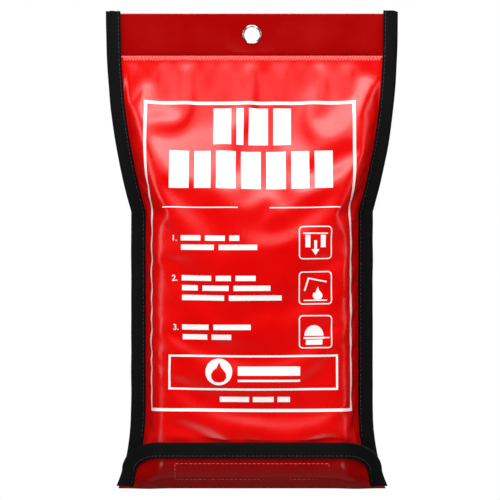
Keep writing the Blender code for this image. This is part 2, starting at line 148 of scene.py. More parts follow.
def wrapped(distance, radius):
    # (y, z) on a layer: distance is 0 at the foot of the straight front and runs round the edge to the fold
    turn = clamp(distance / flapRadius, 0.0, slopeTurn)
    above = max(-distance, 0.0)
    along = max(distance - arcLength, 0.0)
    y = edgeY - radius * math.cos(turn) + along * math.sin(slopeTurn)
    return y, edgeZ - radius * math.sin(turn) + above - along * math.cos(slopeTurn)


flapFlatHalf = packHigh.x - 5.5 * mm
flapSideHalf = pouch["footHalf"] - 1.0 * mm
flapCorner = {"half": pouch["waistHalf"] - 19.0 * mm, "height": 19.0 * mm}


def flapHalf(z):
    into = z - (flapEdgeZ - flapCorner["height"])
    if into <= 0.0:
        return outerHalf(z)
    full = outerHalf(flapEdgeZ - flapCorner["height"])
    share = min(into / flapCorner["height"], 1.0)
    return flapCorner["half"] + (full - flapCorner["half"]) * math.sqrt(1.0 - share ** 2)


def onFlap(x, y):
    # brought back onto the side tapes away from the blanket
    if y > flapSideMid:
        return y
    fall = 1.0 - smoothStep((abs(x) - flapFlatHalf) / (flapSideHalf - flapFlatHalf))
    return flapSideMid + (y - flapSideMid) * fall


def flapSurface(x, z):
    if z >= edgeZ:
        y = edgeY - flapRadius
    elif z > edgeZ - flapRadius * math.sin(slopeTurn):
        y = edgeY - math.sqrt(flapRadius ** 2 - (edgeZ - z) ** 2)
    else:
        y = backMid - (z - foldZ) * math.tan(slopeTurn)
    return onFlap(x, y)


def flapNormal(x, z, step=0.3 * mm):
    byX = (flapSurface(x + step, z) - flapSurface(x - step, z)) / (2 * step)
    byZ = (flapSurface(x, z + step) - flapSurface(x, z - step)) / (2 * step)
    return Vector((byX, -1.0, byZ)).normalized()


# materials
def hexColour(text):
    channels = [int(text[i:i + 2], 16) / 255 for i in (1, 3, 5)]
    linear = [c / 12.92 if c <= 0.04045 else ((c + 0.055) / 1.055) ** 2.4 for c in channels]
    return (*linear, 1.0)


def addNode(tree, kind, settings=None, links=None):
    node = tree.nodes.new(kind)
    for key, value in (settings or {}).items():
        if isinstance(key, int) or key in node.inputs:
            node.inputs[key].default_value = value
        else:
            setattr(node, key, value)
    for key, source in (links or {}).items():
        tree.links.new(source, node.inputs[key])
    return node


def startMaterial(name, colour, settings):
    made = bpy.data.materials.new(name)
    made.use_nodes = True
    tree = made.node_tree
    shader = tree.nodes["Principled BSDF"]
    shader.inputs["Base Color"].default_value = hexColour(colour)
    for key, value in settings.items():
        shader.inputs[key].default_value = value
    coords = addNode(tree, "ShaderNodeTexCoord")
    return made, tree, shader, coords


def perMm(size):
    # a pattern scale from its real size in millimetres
    return 1000.0 / size


def bandsPerMm(size):
    # the same for a wave texture, whose bands repeat every 2 pi / 20 of its unit
    return perMm(size) * 2 * math.pi / 20


# the back sheet's red is darker than the front's: partly a duller sheet, partly painted shade for the
# header and the downward-facing flap
pvcSheet = {
    "colour": "#E40301", "deep": "#D00101", "backColourWithShade": "#A40101", "backDeepWithShade": "#920001",
    "shine": 0.3, "headerShine": 0.16, "roughness": (0.21, 0.32),
    "grainMm": 1.1, "cloudMm": 26.0, "weaveMm": 1.4, "grainDepth": 0.02 * mm,
}


def makePvcSheet(name, colour, deep, shine):
    # soft calendered PVC on a fabric backing: wet-looking gloss broken up by a fine pebbled grain
    made, tree, shader, coords = startMaterial(
        name, colour, {"IOR": 1.53, "Specular IOR Level": shine})
    place = coords.outputs["Object"]
    cloud = addNode(tree, "ShaderNodeTexNoise", {"Scale": perMm(pvcSheet["cloudMm"]), "Detail": 3.0},
                    {"Vector": place})
    tint = addNode(tree, "ShaderNodeMix", {
        "data_type": "RGBA", 6: hexColour(deep), 7: hexColour(colour)}, {0: cloud.outputs["Fac"]})
    tree.links.new(tint.outputs[2], shader.inputs["Base Color"])
    grain = addNode(tree, "ShaderNodeTexNoise",
                    {"Scale": perMm(pvcSheet["grainMm"]), "Detail": 4.0, "Roughness": 0.62},
                    {"Vector": place})
    low, high = pvcSheet["roughness"]
    gloss = addNode(tree, "ShaderNodeMapRange", {
        "interpolation_type": "SMOOTHSTEP", "To Min": low, "To Max": high, "From Min": 0.25,
        "From Max": 0.75},
        {"Value": cloud.outputs["Fac"]})
    tree.links.new(gloss.outputs["Result"], shader.inputs["Roughness"])
    # the backing weave prints through very faintly, its 0.7 mm threads drawn every 1.4 mm to show
    level, upright = (
        addNode(tree, "ShaderNodeTexWave", {
            "Scale": bandsPerMm(pvcSheet["weaveMm"]), "bands_direction": way, "Distortion": 0.6},
            {"Vector": place})
        for way in "XZ")
    weave = addNode(tree, "ShaderNodeMath", {"operation": "ADD"},
                    {0: level.outputs["Fac"], 1: upright.outputs["Fac"]})
    faint = addNode(tree, "ShaderNodeMath", {"operation": "MULTIPLY_ADD", 1: 0.12},
                    {0: weave.outputs[0], 2: grain.outputs["Fac"]})
    bump = addNode(tree, "ShaderNodeBump", {"Strength": 0.55, "Distance": pvcSheet["grainDepth"]},
                   {"Height": faint.outputs[0]})
    tree.links.new(bump.outputs["Normal"], shader.inputs["Normal"])
    return made


ribbedTape = {"colour": "#030304", "worn": "#0D0D0F", "ribMm": 1.3, "yarnMm": 0.45}


def makeRibbedTape():
    # grosgrain polyester tape: matt black cross ribs with a little lint caught in them
    made, tree, shader, coords = startMaterial(
        "woven_grosgrain_tape", ribbedTape["colour"],
        {"Roughness": 0.85, "Specular IOR Level": 0.14})
    flat, place = coords.outputs["UV"], coords.outputs["Object"]
    ribs = addNode(tree, "ShaderNodeTexWave", {
        "Scale": bandsPerMm(ribbedTape["ribMm"]), "bands_direction": "Y", "Distortion": 0.5,
        "Detail": 1.0}, {"Vector": flat})
    yarn = addNode(tree, "ShaderNodeTexWave", {
        "Scale": bandsPerMm(ribbedTape["yarnMm"]), "bands_direction": "X", "Distortion": 1.2,
        "Detail": 2.0}, {"Vector": flat})
    both = addNode(tree, "ShaderNodeMath", {"operation": "MULTIPLY_ADD", 1: 0.35},
                   {0: yarn.outputs["Fac"], 2: ribs.outputs["Fac"]})
    bump = addNode(tree, "ShaderNodeBump", {"Strength": 0.8, "Distance": 0.12 * mm},
                   {"Height": both.outputs[0]})
    tree.links.new(bump.outputs["Normal"], shader.inputs["Normal"])
    rub = addNode(tree, "ShaderNodeTexNoise", {"Scale": perMm(7.0), "Detail": 5.0}, {"Vector": place})
    lint = addNode(tree, "ShaderNodeTexNoise", {"Scale": perMm(0.9), "Detail": 2.0, "Distortion": 1.5},
                   {"Vector": place})
    specks = addNode(tree, "ShaderNodeMapRange", {"From Min": 0.7, "From Max": 0.78, "To Max": 0.6},
                     {"Value": lint.outputs["Fac"]})
    ribShade = addNode(tree, "ShaderNodeMath", {"operation": "MULTIPLY"},
                       {0: ribs.outputs["Fac"], 1: rub.outputs["Fac"]})
    amount = addNode(tree, "ShaderNodeMath", {"operation": "MAXIMUM"},
                     {0: ribShade.outputs[0], 1: specks.outputs["Result"]})
    tint = addNode(tree, "ShaderNodeMix", {
        "data_type": "RGBA", 6: hexColour(ribbedTape["colour"]), 7: hexColour(ribbedTape["worn"])},
        {0: amount.outputs[0]})
    tree.links.new(tint.outputs[2], shader.inputs["Base Color"])
    return made


def makeNickelPlate():
    # bright nickel over stamped brass: nearly a mirror, with fine handling scratches round the rim
    made, tree, shader, coords = startMaterial(
        "plated_nickel_on_brass", "#CFCAC2", {"Metallic": 1.0, "Roughness": 0.18})
    place = coords.outputs["Object"]
    scratch = addNode(tree, "ShaderNodeTexNoise", {"Scale": perMm(1.6), "Detail": 6.0, "Distortion": 3.0},
                      {"Vector": place})
    rough = addNode(tree, "ShaderNodeMapRange", {"To Min": 0.1, "To Max": 0.32},
                    {"Value": scratch.outputs["Fac"]})
    tree.links.new(rough.outputs["Result"], shader.inputs["Roughness"])
    bump = addNode(tree, "ShaderNodeBump", {"Strength": 0.15, "Distance": 0.03 * mm},
                   {"Height": scratch.outputs["Fac"]})
    tree.links.new(bump.outputs["Normal"], shader.inputs["Normal"])
    return made


def makeScreenInk():
    # solvent screen ink on PVC: dense satin white that thins to pink in pinholes
    made, tree, shader, coords = startMaterial("screen_printed_ink", "#FAF8F6",
                                               {"Roughness": 0.42, "IOR": 1.5})
    place = coords.outputs["Object"]
    pores = addNode(tree, "ShaderNodeTexNoise", {"Scale": perMm(0.8), "Detail": 3.0}, {"Vector": place})
    thin = addNode(tree, "ShaderNodeMapRange", {"From Min": 0.62, "From Max": 0.8, "To Max": 0.55},
                   {"Value": pores.outputs["Fac"]})
    tint = addNode(tree, "ShaderNodeMix", {
        "data_type": "RGBA", 6: hexColour("#FAF8F6"), 7: hexColour("#F3A9A2")},
        {0: thin.outputs["Result"]})
    tree.links.new(tint.outputs[2], shader.inputs["Base Color"])
    bump = addNode(tree, "ShaderNodeBump", {"Strength": 0.3, "Distance": 0.02 * mm},
                   {"Height": pores.outputs["Fac"]})
    tree.links.new(bump.outputs["Normal"], shader.inputs["Normal"])
    return made


def makeThread(name, colour, light):
    # spun polyester sewing thread: a soft sheen with the ply twist showing as fine slanting lines, each
    # painted lighter along its crest as a highlight
    made, tree, shader, coords = startMaterial(
        name, colour, {"Roughness": 0.45, "Sheen Weight": 0.3, "Sheen Roughness": 0.4})
    place = coords.outputs["Object"]
    ply = addNode(tree, "ShaderNodeTexWave", {
        "Scale": bandsPerMm(0.5), "bands_direction": "DIAGONAL", "Distortion": 1.0, "Detail": 1.0},
        {"Vector": place})
    tint = addNode(tree, "ShaderNodeMix", {
        "data_type": "RGBA", 6: hexColour(colour), 7: hexColour(light)}, {0: ply.outputs["Fac"]})
    tree.links.new(tint.outputs[2], shader.inputs["Base Color"])
    bump = addNode(tree, "ShaderNodeBump", {"Strength": 0.7, "Distance": 0.06 * mm},
                   {"Height": ply.outputs["Fac"]})
    tree.links.new(bump.outputs["Normal"], shader.inputs["Normal"])
    return made


def makeWeave(name, colour, shade, yarnMm, depth, settings):
    # warp and weft crossing, darker in the hollows between yarns as painted shade, with a random fuzz in
    # the tone
    made, tree, shader, coords = startMaterial(name, colour, settings)
    flat = coords.outputs["UV"]
    warp, weft = (
        addNode(tree, "ShaderNodeTexWave", {
            "Scale": bandsPerMm(yarnMm), "bands_direction": way, "Distortion": 0.7, "Detail": 1.0},
            {"Vector": flat})
        for way in "XY")
    height = addNode(tree, "ShaderNodeMath", {"operation": "MULTIPLY"},
                     {0: warp.outputs["Fac"], 1: weft.outputs["Fac"]})
    fuzz = addNode(tree, "ShaderNodeTexNoise", {"Scale": perMm(9.0), "Detail": 4.0},
                   {"Vector": coords.outputs["Object"]})
    amount = addNode(tree, "ShaderNodeMath", {"operation": "MULTIPLY_ADD", 1: 0.6, "use_clamp": True},
                     {0: height.outputs[0], 2: fuzz.outputs["Fac"]})
    tint = addNode(tree, "ShaderNodeMix", {
        "data_type": "RGBA", 6: hexColour(shade), 7: hexColour(colour)}, {0: amount.outputs[0]})
    tree.links.new(tint.outputs[2], shader.inputs["Base Color"])
    bump = addNode(tree, "ShaderNodeBump", {"Strength": 0.8, "Distance": depth},
                   {"Height": height.outputs[0]})
    tree.links.new(bump.outputs["Normal"], shader.inputs["Normal"])
    return made


def makePile(name, colour, tipHighlight, cellMm):
    # hook and loop tape: a dense matt pile of separate loops or hooks on a woven ground, each tip painted
    # lighter as a highlight and the ground between them darker as painted shade
    made, tree, shader, coords = startMaterial(
        name, colour, {"Roughness": 0.85, "Sheen Weight": 0.4, "Sheen Roughness": 0.6})
    flat = coords.outputs["UV"]
    cells = addNode(tree, "ShaderNodeTexVoronoi", {"Scale": perMm(cellMm), "Randomness": 0.6},
                    {"Vector": flat})
    tips = addNode(tree, "ShaderNodeMapRange", {"From Max": 0.5, "To Min": 1.0, "To Max": 0.0},
                   {"Value": cells.outputs["Distance"]})
    tint = addNode(tree, "ShaderNodeMix", {
        "data_type": "RGBA", 6: hexColour(colour), 7: hexColour(tipHighlight)}, {0: tips.outputs["Result"]})
    tree.links.new(tint.outputs[2], shader.inputs["Base Color"])
    bump = addNode(tree, "ShaderNodeBump", {"Strength": 1.0, "Distance": 0.3 * mm},
                   {"Height": tips.outputs["Result"]})
    tree.links.new(bump.outputs["Normal"], shader.inputs["Normal"])
    return made


redPvc = makePvcSheet("calendered_pvc_sheet", pvcSheet["colour"], pvcSheet["deep"], pvcSheet["shine"])
# a darker copy of the red PVC for the back panel, header and flap: partly a duller sheet, partly painted
# shade
backPvcWithShade = makePvcSheet("calendered_pvc_back_sheet_with_painted_shade", pvcSheet["backColourWithShade"], pvcSheet["backDeepWithShade"],
                         pvcSheet["headerShine"])
blackTape = makeRibbedTape()
nickel = makeNickelPlate()
whiteInk = makeScreenInk()
# the second colour of each thread is a painted highlight along the ply crests
redThread = makeThread("spun_polyester_thread_red", "#EE3A33", "#FF8880")
blackThread = makeThread("spun_polyester_thread_black", "#0E0E0F", "#2C2C2E")
# the real cloth has a yarn every 0.6 mm, drawn every 2.2 mm so that it shows
# the second colour of each weave is painted shade in the hollows between yarns
glassCloth = makeWeave("plain_woven_glass_cloth", "#ECE9E0", "#C9C5B8", 2.2, 0.12 * mm,
                       {"Roughness": 0.55, "Sheen Weight": 0.2})
# the webbing's yarns, and the loops and hooks below it, are drawn at about their real spacing
blackWebbing = makeWeave("woven_polyester_webbing", "#1B1B1D", "#09090A", 1.6, 0.3 * mm,
                         {"Roughness": 0.75, "Sheen Weight": 0.2})
# the second colour is a painted highlight on each loop or hook tip
loopPile = makePile("brushed_nylon_loop_tape", "#0D0D0E", "#333336", 0.8)
hookPile = makePile("moulded_nylon_hook_tape", "#0B0B0C", "#2A2A2C", 1.2)
print("materials made")


# shared ways of making a piece
def finishPiece(name, work, material, body, nodes=(), smooth=True):
    data = bpy.data.meshes.new(name)
    work.to_mesh(data)
    work.free()
    if smooth:
        data.shade_smooth()
    piece = bpy.data.objects.new(name, data)
    bpy.context.scene.collection.objects.link(piece)
    data.materials.append(material)
    if body:
        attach(piece, body)
    if nodes:
        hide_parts(*nodes)
    return piece


def layGrid(columns, rows, place, flat):
    # a grid laid out by place(across, along), both 0 to 1, with its flat size in metres as its UV map
    work = bmesh.new()
    pattern = work.loops.layers.uv.new("flatPattern")
    bmesh.ops.create_grid(work, x_segments=columns, y_segments=rows, size=0.5, calc_uvs=False)
    for face in work.faces:
        for corner in face.loops:
            corner[pattern].uv = ((corner.vert.co.x + 0.5) * flat[0], (corner.vert.co.y + 0.5) * flat[1])
    for point in work.verts:
        point.co = Vector(place(point.co.x + 0.5, point.co.y + 0.5))
    return work


def thicken(piece, thickness, even=True):
    # gives the sheet its wall and keeps it as plain mesh
    wall = piece.modifiers.new("wall", "SOLIDIFY")
    wall.thickness = thickness
    wall.offset = 0.0
    wall.use_even_offset = even
    keepEvaluated(piece)


def keepEvaluated(piece):
    graph = bpy.context.evaluated_depsgraph_get()
    made = bpy.data.meshes.new_from_object(piece.evaluated_get(graph))
    old = piece.data
    piece.modifiers.clear()
    piece.data = made
    made.name = piece.name
    bpy.data.meshes.remove(old)


def evenPoints(points, step):
    # a line of points a step apart along the given one, with the direction at each
    line = np.array([tuple(p) for p in points], float)
    runs = np.concatenate([[0.0], np.cumsum(np.linalg.norm(np.diff(line, axis=0), axis=1))])
    count = max(int(round(runs[-1] / step)), 2)
    at = np.linspace(0.0, runs[-1], count + 1)
    spots = np.stack([np.interp(at, runs, line[:, i]) for i in range(line.shape[1])], axis=1)
    ways = np.gradient(spots, axis=0)
    return [Vector(s) for s in spots], [Vector(w).normalized() for w in ways], at


def stitchRow(name, spots, material, body, nodes, length, width):
    # one short bulging thread for each stitch: spots holds (place, way along, way out)
    work = bmesh.new()
    for place, along, out in spots:
        side = along.cross(out).normalized()
        up = side.cross(along).normalized()
        turn = Matrix((side, up, along)).transposed().to_4x4()
        size = Matrix.Diagonal((width, width * 0.8, length, 1.0))
        bmesh.ops.create_uvsphere(work, u_segments=8, v_segments=6, radius=0.5,
                                  matrix=Matrix.Translation(place) @ turn @ size)
    return finishPiece(name, work, material, body, nodes)


def hemSection(share, reach, legGap):
    # a tape folded over an edge: (distance in from its fold, side from -1 to 1, way out of its face)
    turn = legGap / 2
    leg = reach - turn
    length = 2 * leg + math.pi * turn
    travelled = share * length
    if travelled < leg:
        return reach - travelled, -1.0, (0.0, -1.0)
    if travelled > leg + math.pi * turn:
        return turn + travelled - leg - math.pi * turn, 1.0, (0.0, 1.0)
    angle = (travelled - leg) / turn
    return turn - turn * math.sin(angle), -math.cos(angle), (math.sin(angle), -math.cos(angle))


# blanket: one metre square of glass cloth, folded eight across and six down
blanketFold = {"across": 8, "down": 6, "cloth": 0.36 * mm, "flatSteps": 7, "turnSteps": 4}


def foldPath(panels, length, depth):
    # an accordion path: function of 0 to 1 that gives (along, out, normal along, normal out)
    radius = depth / panels / 2
    straight = length - 2 * radius
    turnLength = math.pi * radius
    unit = straight + turnLength

    def at(share):
        travelled = share * (panels * straight + (panels - 1) * turnLength)
        index = min(int(travelled / unit), panels - 1)
        into = travelled - index * unit
        forward = 1.0 if index % 2 == 0 else -1.0
        centre = radius * (2 * index + 1)
        if into <= straight:
            return forward * (into - straight / 2), centre, 0.0, forward
        angle = (into - straight) / radius
        return (forward * (straight / 2 + radius * math.sin(angle)),
                centre + radius * (1 - math.cos(angle)),
                forward * -math.sin(angle), forward * math.cos(angle))

    return at


def shares(panels, length, depth, flatSteps, turnSteps):
    # where the grid's lines lie on that path: closer together round each turn
    radius = depth / panels / 2
    straight = length - 2 * radius
    turnLength = math.pi * radius
    total = panels * straight + (panels - 1) * turnLength
    found = []
    for index in range(panels):
        start = index * (straight + turnLength)
        found += [(start + straight * i / flatSteps) / total for i in range(flatSteps + 1)]
        if index < panels - 1:
            found += [(start + straight + turnLength * i / turnSteps) / total
                      for i in range(1, turnSteps)]
    return found


def makeBlanket():
    size = packHigh - packLow
    depth = size.y - 0.6 * mm
    bundle = depth / blanketFold["down"]
    width, height = size.x - 0.4 * mm, size.z - 0.4 * mm
    acrossPath = foldPath(blanketFold["across"], width, bundle)
    downPath = foldPath(blanketFold["down"], height, depth)
    acrossAt = shares(blanketFold["across"], width, bundle, blanketFold["flatSteps"],
                      blanketFold["turnSteps"])
    downAt = shares(blanketFold["down"], height, depth, blanketFold["flatSteps"] + 5,
                    blanketFold["turnSteps"] + 4)
    middle = (packLow + packHigh) / 2
    edge = pouch["packEdge"]

    def rounding(y):
        # how much shorter the pack is at a depth, where its edges are rounded
        into = max(edge - (y - packLow.y), edge - (packHigh.y - y), 0.0)
        return edge - math.sqrt(max(edge ** 2 - into ** 2, 0.0))

    def place(across, along):
        x, out, _, _ = acrossPath(acrossAt[round(across * (len(acrossAt) - 1))])
        z, y, normalZ, normalY = downPath(downAt[round(along * (len(downAt) - 1))])
        offset = out - bundle / 2
        ripple = 0.25 * mm * noise.noise(Vector((x * 40, z * 25, out * 900)))
        z += normalZ * offset
        depthHere = packLow.y + 0.3 * mm + y + normalY * offset
        short = rounding(depthHere)
        x *= 1.0 - short / (width / 2) * 0.8
        z *= 1.0 - short / (height / 2)
        return middle.x + x + ripple, depthHere, middle.z + z + ripple

    work = layGrid(len(acrossAt) - 1, len(downAt) - 1, place, (1.0, 1.0))
    piece = finishPiece("folded_blanket", work, glassCloth, None, ["blanket"])
    thicken(piece, blanketFold["cloth"], even=False)
    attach(piece, "blanket")


pullTab = {
    "width": 25.0 * mm, "length": 45 * mm, "spacing": 66.0 * mm, "rise": 2.5 * mm, "columns": 14,
    "boxStart": 1.5 * mm, "boxEnd": 8.0 * mm, "boxInset": 2.5 * mm, "stitch": 2.4 * mm,
}


def tabPath(offset):
    radius = pouch["packEdge"] + offset
    start = packHigh.y - pouch["packEdge"] / 2
    belowSteps, turnSteps = 12, 16
    line = [(start + (edgeY - start) * step / belowSteps, packLow.z - offset)
            for step in range(belowSteps)]
    for step in range(turnSteps + 1):
        angle = math.pi / 2 * step / turnSteps
        line.append((edgeY - radius * math.sin(angle), edgeZ - radius * math.cos(angle)))
    return line + [(edgeY - radius, edgeZ + pullTab["rise"] * i / 2) for i in (1, 2)]


def makeTab(name, side):
    centre = side * pullTab["spacing"] / 2
    path = tabPath(gap + pouch["webbing"] / 2)
    rows = len(path) - 1
    half = pullTab["width"] / 2

    def place(across, along):
        y, z = path[round(along * rows)]
        end = smoothStep((along * rows - (rows - 3)) / 3)
        return centre + (half - 1.2 * mm * end) * (2 * across - 1), y, z

    work = layGrid(pullTab["columns"], rows, place, (pullTab["width"], pullTab["length"]))
    piece = finishPiece(f"{name}_webbing_tab", work, blackWebbing, None, [f"{name}_pull_tab"])
    thicken(piece, pouch["webbing"] * 0.9)
    soften = piece.modifiers.new("rolled edge", "BEVEL")
    soften.width = 0.35 * mm
    soften.segments = 2
    soften.angle_limit = math.radians(50)
    keepEvaluated(piece)
    piece.data.shade_smooth()
    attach(piece, f"{name}_tab")
    start = packHigh.y - pouch["packEdge"] / 2
    z = packLow.z - gap - pouch["webbing"] - thread / 2
    reach = half - pullTab["boxInset"]
    near, far = start - pullTab["boxStart"], start - pullTab["boxEnd"]
    # round the box, then across both of its diagonals
    box = [(-reach, near), (reach, near), (reach, far), (-reach, far),
           (-reach, near), (reach, far), (reach, near), (-reach, far)]
    corners = [Vector((centre + x, y, z)) for x, y in box]
    spots = []
    for a, b in zip(corners, corners[1:]):
        places, ways, _ = evenPoints([a, b], pullTab["stitch"])
        spots += [((p + q) / 2, w, Vector((0, 0, -1))) for p, q, w in zip(places, places[1:], ways)]
    stitchRow(f"{name}_tab_box_stitch", spots, blackThread, f"{name}_tab",
              [f"{name}_tab_stitching"], 2.2 * mm, 0.45 * mm)


makeBlanket()
makeTab("left", -1.0)
makeTab("right", 1.0)
print("blanket folded")


# back panel, folded over at the top to make the header
backSheet = {
    "columns": 72, "backRows": 120, "turnRows": 8, "facingRows": 64, "ripple": 0.7 * mm,
    "roll": 0.8 * mm, "rollStart": 0.3 * mm, "rollRise": 1.7 * mm, "rollFall": 21 * mm,
}
eyelet = {"bore": 5.0 * mm, "wall": 0.4 * mm, "rim": 6.35 * mm, "crest": 0.8 * mm, "play": 0.1 * mm}
eyeletHole = eyelet["bore"] + eyelet["wall"] + eyelet["play"]


def backBulge(x, z):
    across = 1.0 - smoothStep((abs(x) - (packHigh.x - pouch["packEdge"])) / pouch["packEdge"])
    return across * smoothStep((pouch["shoulder"] - z) / pouch["packEdge"])


def makeBackSheet():
    turn = pitch / 2
    top = pouch["headerTop"] - sheet / 2
    foot = foldZ - 0.1 * mm  # one sheet with the flap, so its foot meets the fold
    facingFoot = pouch["frontTop"] - pouch["seamHeight"]
    backRows, turnRows, facingRows = backSheet["backRows"], backSheet["turnRows"], backSheet["facingRows"]
    rows = backRows + turnRows + facingRows
    length = top - foot + math.pi * turn + top - facingFoot

    def place(across, along):
        step = round(along * rows)
        if step <= backRows:
            z = foot + (top - turn - foot) * step / backRows
            y = backMid
        elif step < backRows + turnRows:
            angle = math.pi * (step - backRows) / turnRows
            y = backMid - turn + turn * math.cos(angle)
            z = top - turn + turn * math.sin(angle)
        else:
            share = (step - backRows - turnRows) / facingRows
            z = top - turn + (facingFoot - top + turn) * share
            y = facingMid
        x = (outerHalf(z) - pouch["edgeInset"]) * (2 * across - 1)
        inside = smoothStep((outerHalf(z) - pouch["tapeWidth"] - abs(x)) / (12 * mm))
        if step <= backRows:
            bulge = backBulge(x, z)
            y += (-sheet / 2 - backMid) * bulge
            free = inside * (1.0 - bulge) * smoothStep((pouch["frontTop"] - 6 * mm - z) / (15 * mm))
            y += backSheet["ripple"] * free * noise.noise(Vector((x * 28, 3.7, z * 16)))
        else:
            near = smoothStep((math.hypot(x, z) - 9 * mm) / (10 * mm))
            wave = noise.noise(Vector((x * 22, 8.1, z * 30)))
            y -= 0.3 * mm * inside * near * abs(wave) * smoothStep((top - z) / (8 * mm))
            # the header swells out just above the seam that pulls it in
            above = z - pouch["frontTop"] - backSheet["rollStart"]
            crest = backSheet["rollStart"] + backSheet["rollRise"]
            fall = smoothStep((above - crest) / backSheet["rollFall"])
            swell = smoothStep(above / backSheet["rollRise"]) * (1.0 - fall)
            y -= backSheet["roll"] * swell * near * smoothStep(inside * 2)
        return x, min(y, -sheet / 2), z

    work = layGrid(backSheet["columns"], rows, place, (0.19, length))
    # the darker back-sheet red here is partly painted shade on the header
    piece = finishPiece("back_sheet", work, backPvcWithShade, None, ["back_panel"])
    thicken(piece, sheet)
    bpy.ops.mesh.primitive_cylinder_add(
        vertices=64, radius=eyeletHole, depth=20 * mm, rotation=(math.pi / 2, 0, 0))
    punch = bpy.context.object
    cut = piece.modifiers.new("eyelet hole", "BOOLEAN")
    cut.operation = "DIFFERENCE"
    cut.object = punch
    keepEvaluated(piece)
    bpy.data.objects.remove(punch, do_unlink=True)
    piece.data.shade_smooth()
    piece.data.set_sharp_from_angle(angle=math.radians(50))
    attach(piece, "pouch")


makeBackSheet()


# eyelet: a rolled flange in front, its barrel through both layers, a washer behind
def spinRing(name, profile, material, nodes):
    work = bmesh.new()
    points = [work.verts.new((radius, y, 0.0)) for radius, y in profile]
    edges = [work.edges.new((points[i - 1], points[i])) for i in range(len(points))]
    bmesh.ops.spin(work, geom=points + edges, cent=(0, 0, 0), axis=(0, 1, 0), angle=2 * math.pi,
                   steps=96, use_merge=True)
    bmesh.ops.remove_doubles(work, verts=work.verts, dist=0.002 * mm)
    bmesh.ops.recalc_face_normals(work, faces=work.faces)
    return finishPiece(name, work, material, "pouch", nodes)


def makeEyelet():
    bore, rim = eyelet["bore"], eyelet["rim"]
    front = facingMid - sheet / 2 - 0.05 * mm
    back = backMid + sheet / 2 + 0.05 * mm
    centre, half = (bore + rim) / 2, (rim - bore) / 2
    arch = [(centre - half * math.cos(a), front - eyelet["crest"] * math.sin(a))
            for a in np.linspace(0.15, math.pi - 0.05, 15)]
    outer, barrelEnd = bore + eyelet["wall"], back + 0.25 * mm
    under = [(rim - 0.15 * mm, front), (outer, front)]
    barrel = [(outer, barrelEnd), (bore, barrelEnd)]
    spinRing("eyelet_ring", arch + under + barrel, nickel, ["eyelet"])
    dome = [(eyeletHole + (rim - eyeletHole) * s, back + 0.5 * mm * math.sin(math.pi * (0.12 + 0.8 * s)))
            for s in np.linspace(0, 1, 9)]
    spinRing("eyelet_back_washer", [(rim, back), (eyeletHole, back)] + dome, nickel, ["eyelet_washer"])


makeEyelet()
print("header and eyelet made")


# front panel: sewn flat at the sides and top, pushed out by the blanket
frontSheet = {
    "columns": 116, "rows": 150, "slack": 0.009, "steps": 34, "scale": 10.0,
    "bending": 14.0, "tension": 30.0, "start": 1.8 * mm, "smooth": 3,
}


def frontSection(z):
    # half of a level section from its middle to the seam: distances along the sheet, x and y
    half, full = sectionHalf(z), fill(z)
    power = 2.0 + (pouch["sectionPower"] - 2.0) * full
    angles = np.concatenate([np.linspace(0, 0.02, 12), np.linspace(0.03, math.pi / 2, 90)])
    x = half * np.sin(angles) ** (2.0 / power)
    y = frontMid - frontRise * full * np.cos(angles)
    x = np.append(x, outerHalf(z) - pouch["edgeInset"])
    y = np.append(y, frontMid)
    lengths = np.concatenate([[0.0], np.cumsum(np.hypot(np.diff(x), np.diff(y)))])
    return lengths, x, y


frontRowZ = [pouch["mouth"] + (pouch["frontTop"] - pouch["mouth"]) * i / frontSheet["rows"]
             for i in range(frontSheet["rows"] + 1)]
frontSections = [frontSection(z) for z in frontRowZ]
frontMiddle = frontSheet["columns"] // 2


def frontStart(row, column):
    # where the cut sheet starts: on the level section, a little uneven, for its folds to grow from
    lengths, xs, ys = frontSections[row]
    share = (column - frontMiddle) / frontMiddle
    at = abs(share) * lengths[-1]
    x = math.copysign(np.interp(at, lengths, xs), share)
    y = float(np.interp(at, lengths, ys))
    z = frontRowZ[row]
    free = smoothStep((sectionHalf(z) - abs(x)) / (5 * mm)) * fill(z)
    broad, fine = Vector((x * 21 + 5.0, 1.3, z * 19)), Vector((x * 55, 7.9, z * 48))
    uneven = noise.noise(broad) + 0.5 * noise.noise(fine)
    return Vector((x, y - frontSheet["start"] * uneven * free, z))


frontGrid = np.zeros((frontSheet["rows"] + 1, frontSheet["columns"] + 1, 3))
for row in range(frontSheet["rows"] + 1):
    for column in range(frontSheet["columns"] + 1):
        frontGrid[row, column] = frontStart(row, column)


def rowAndColumn(across, along):
    return round(along * frontSheet["rows"]), round(across * frontSheet["columns"])


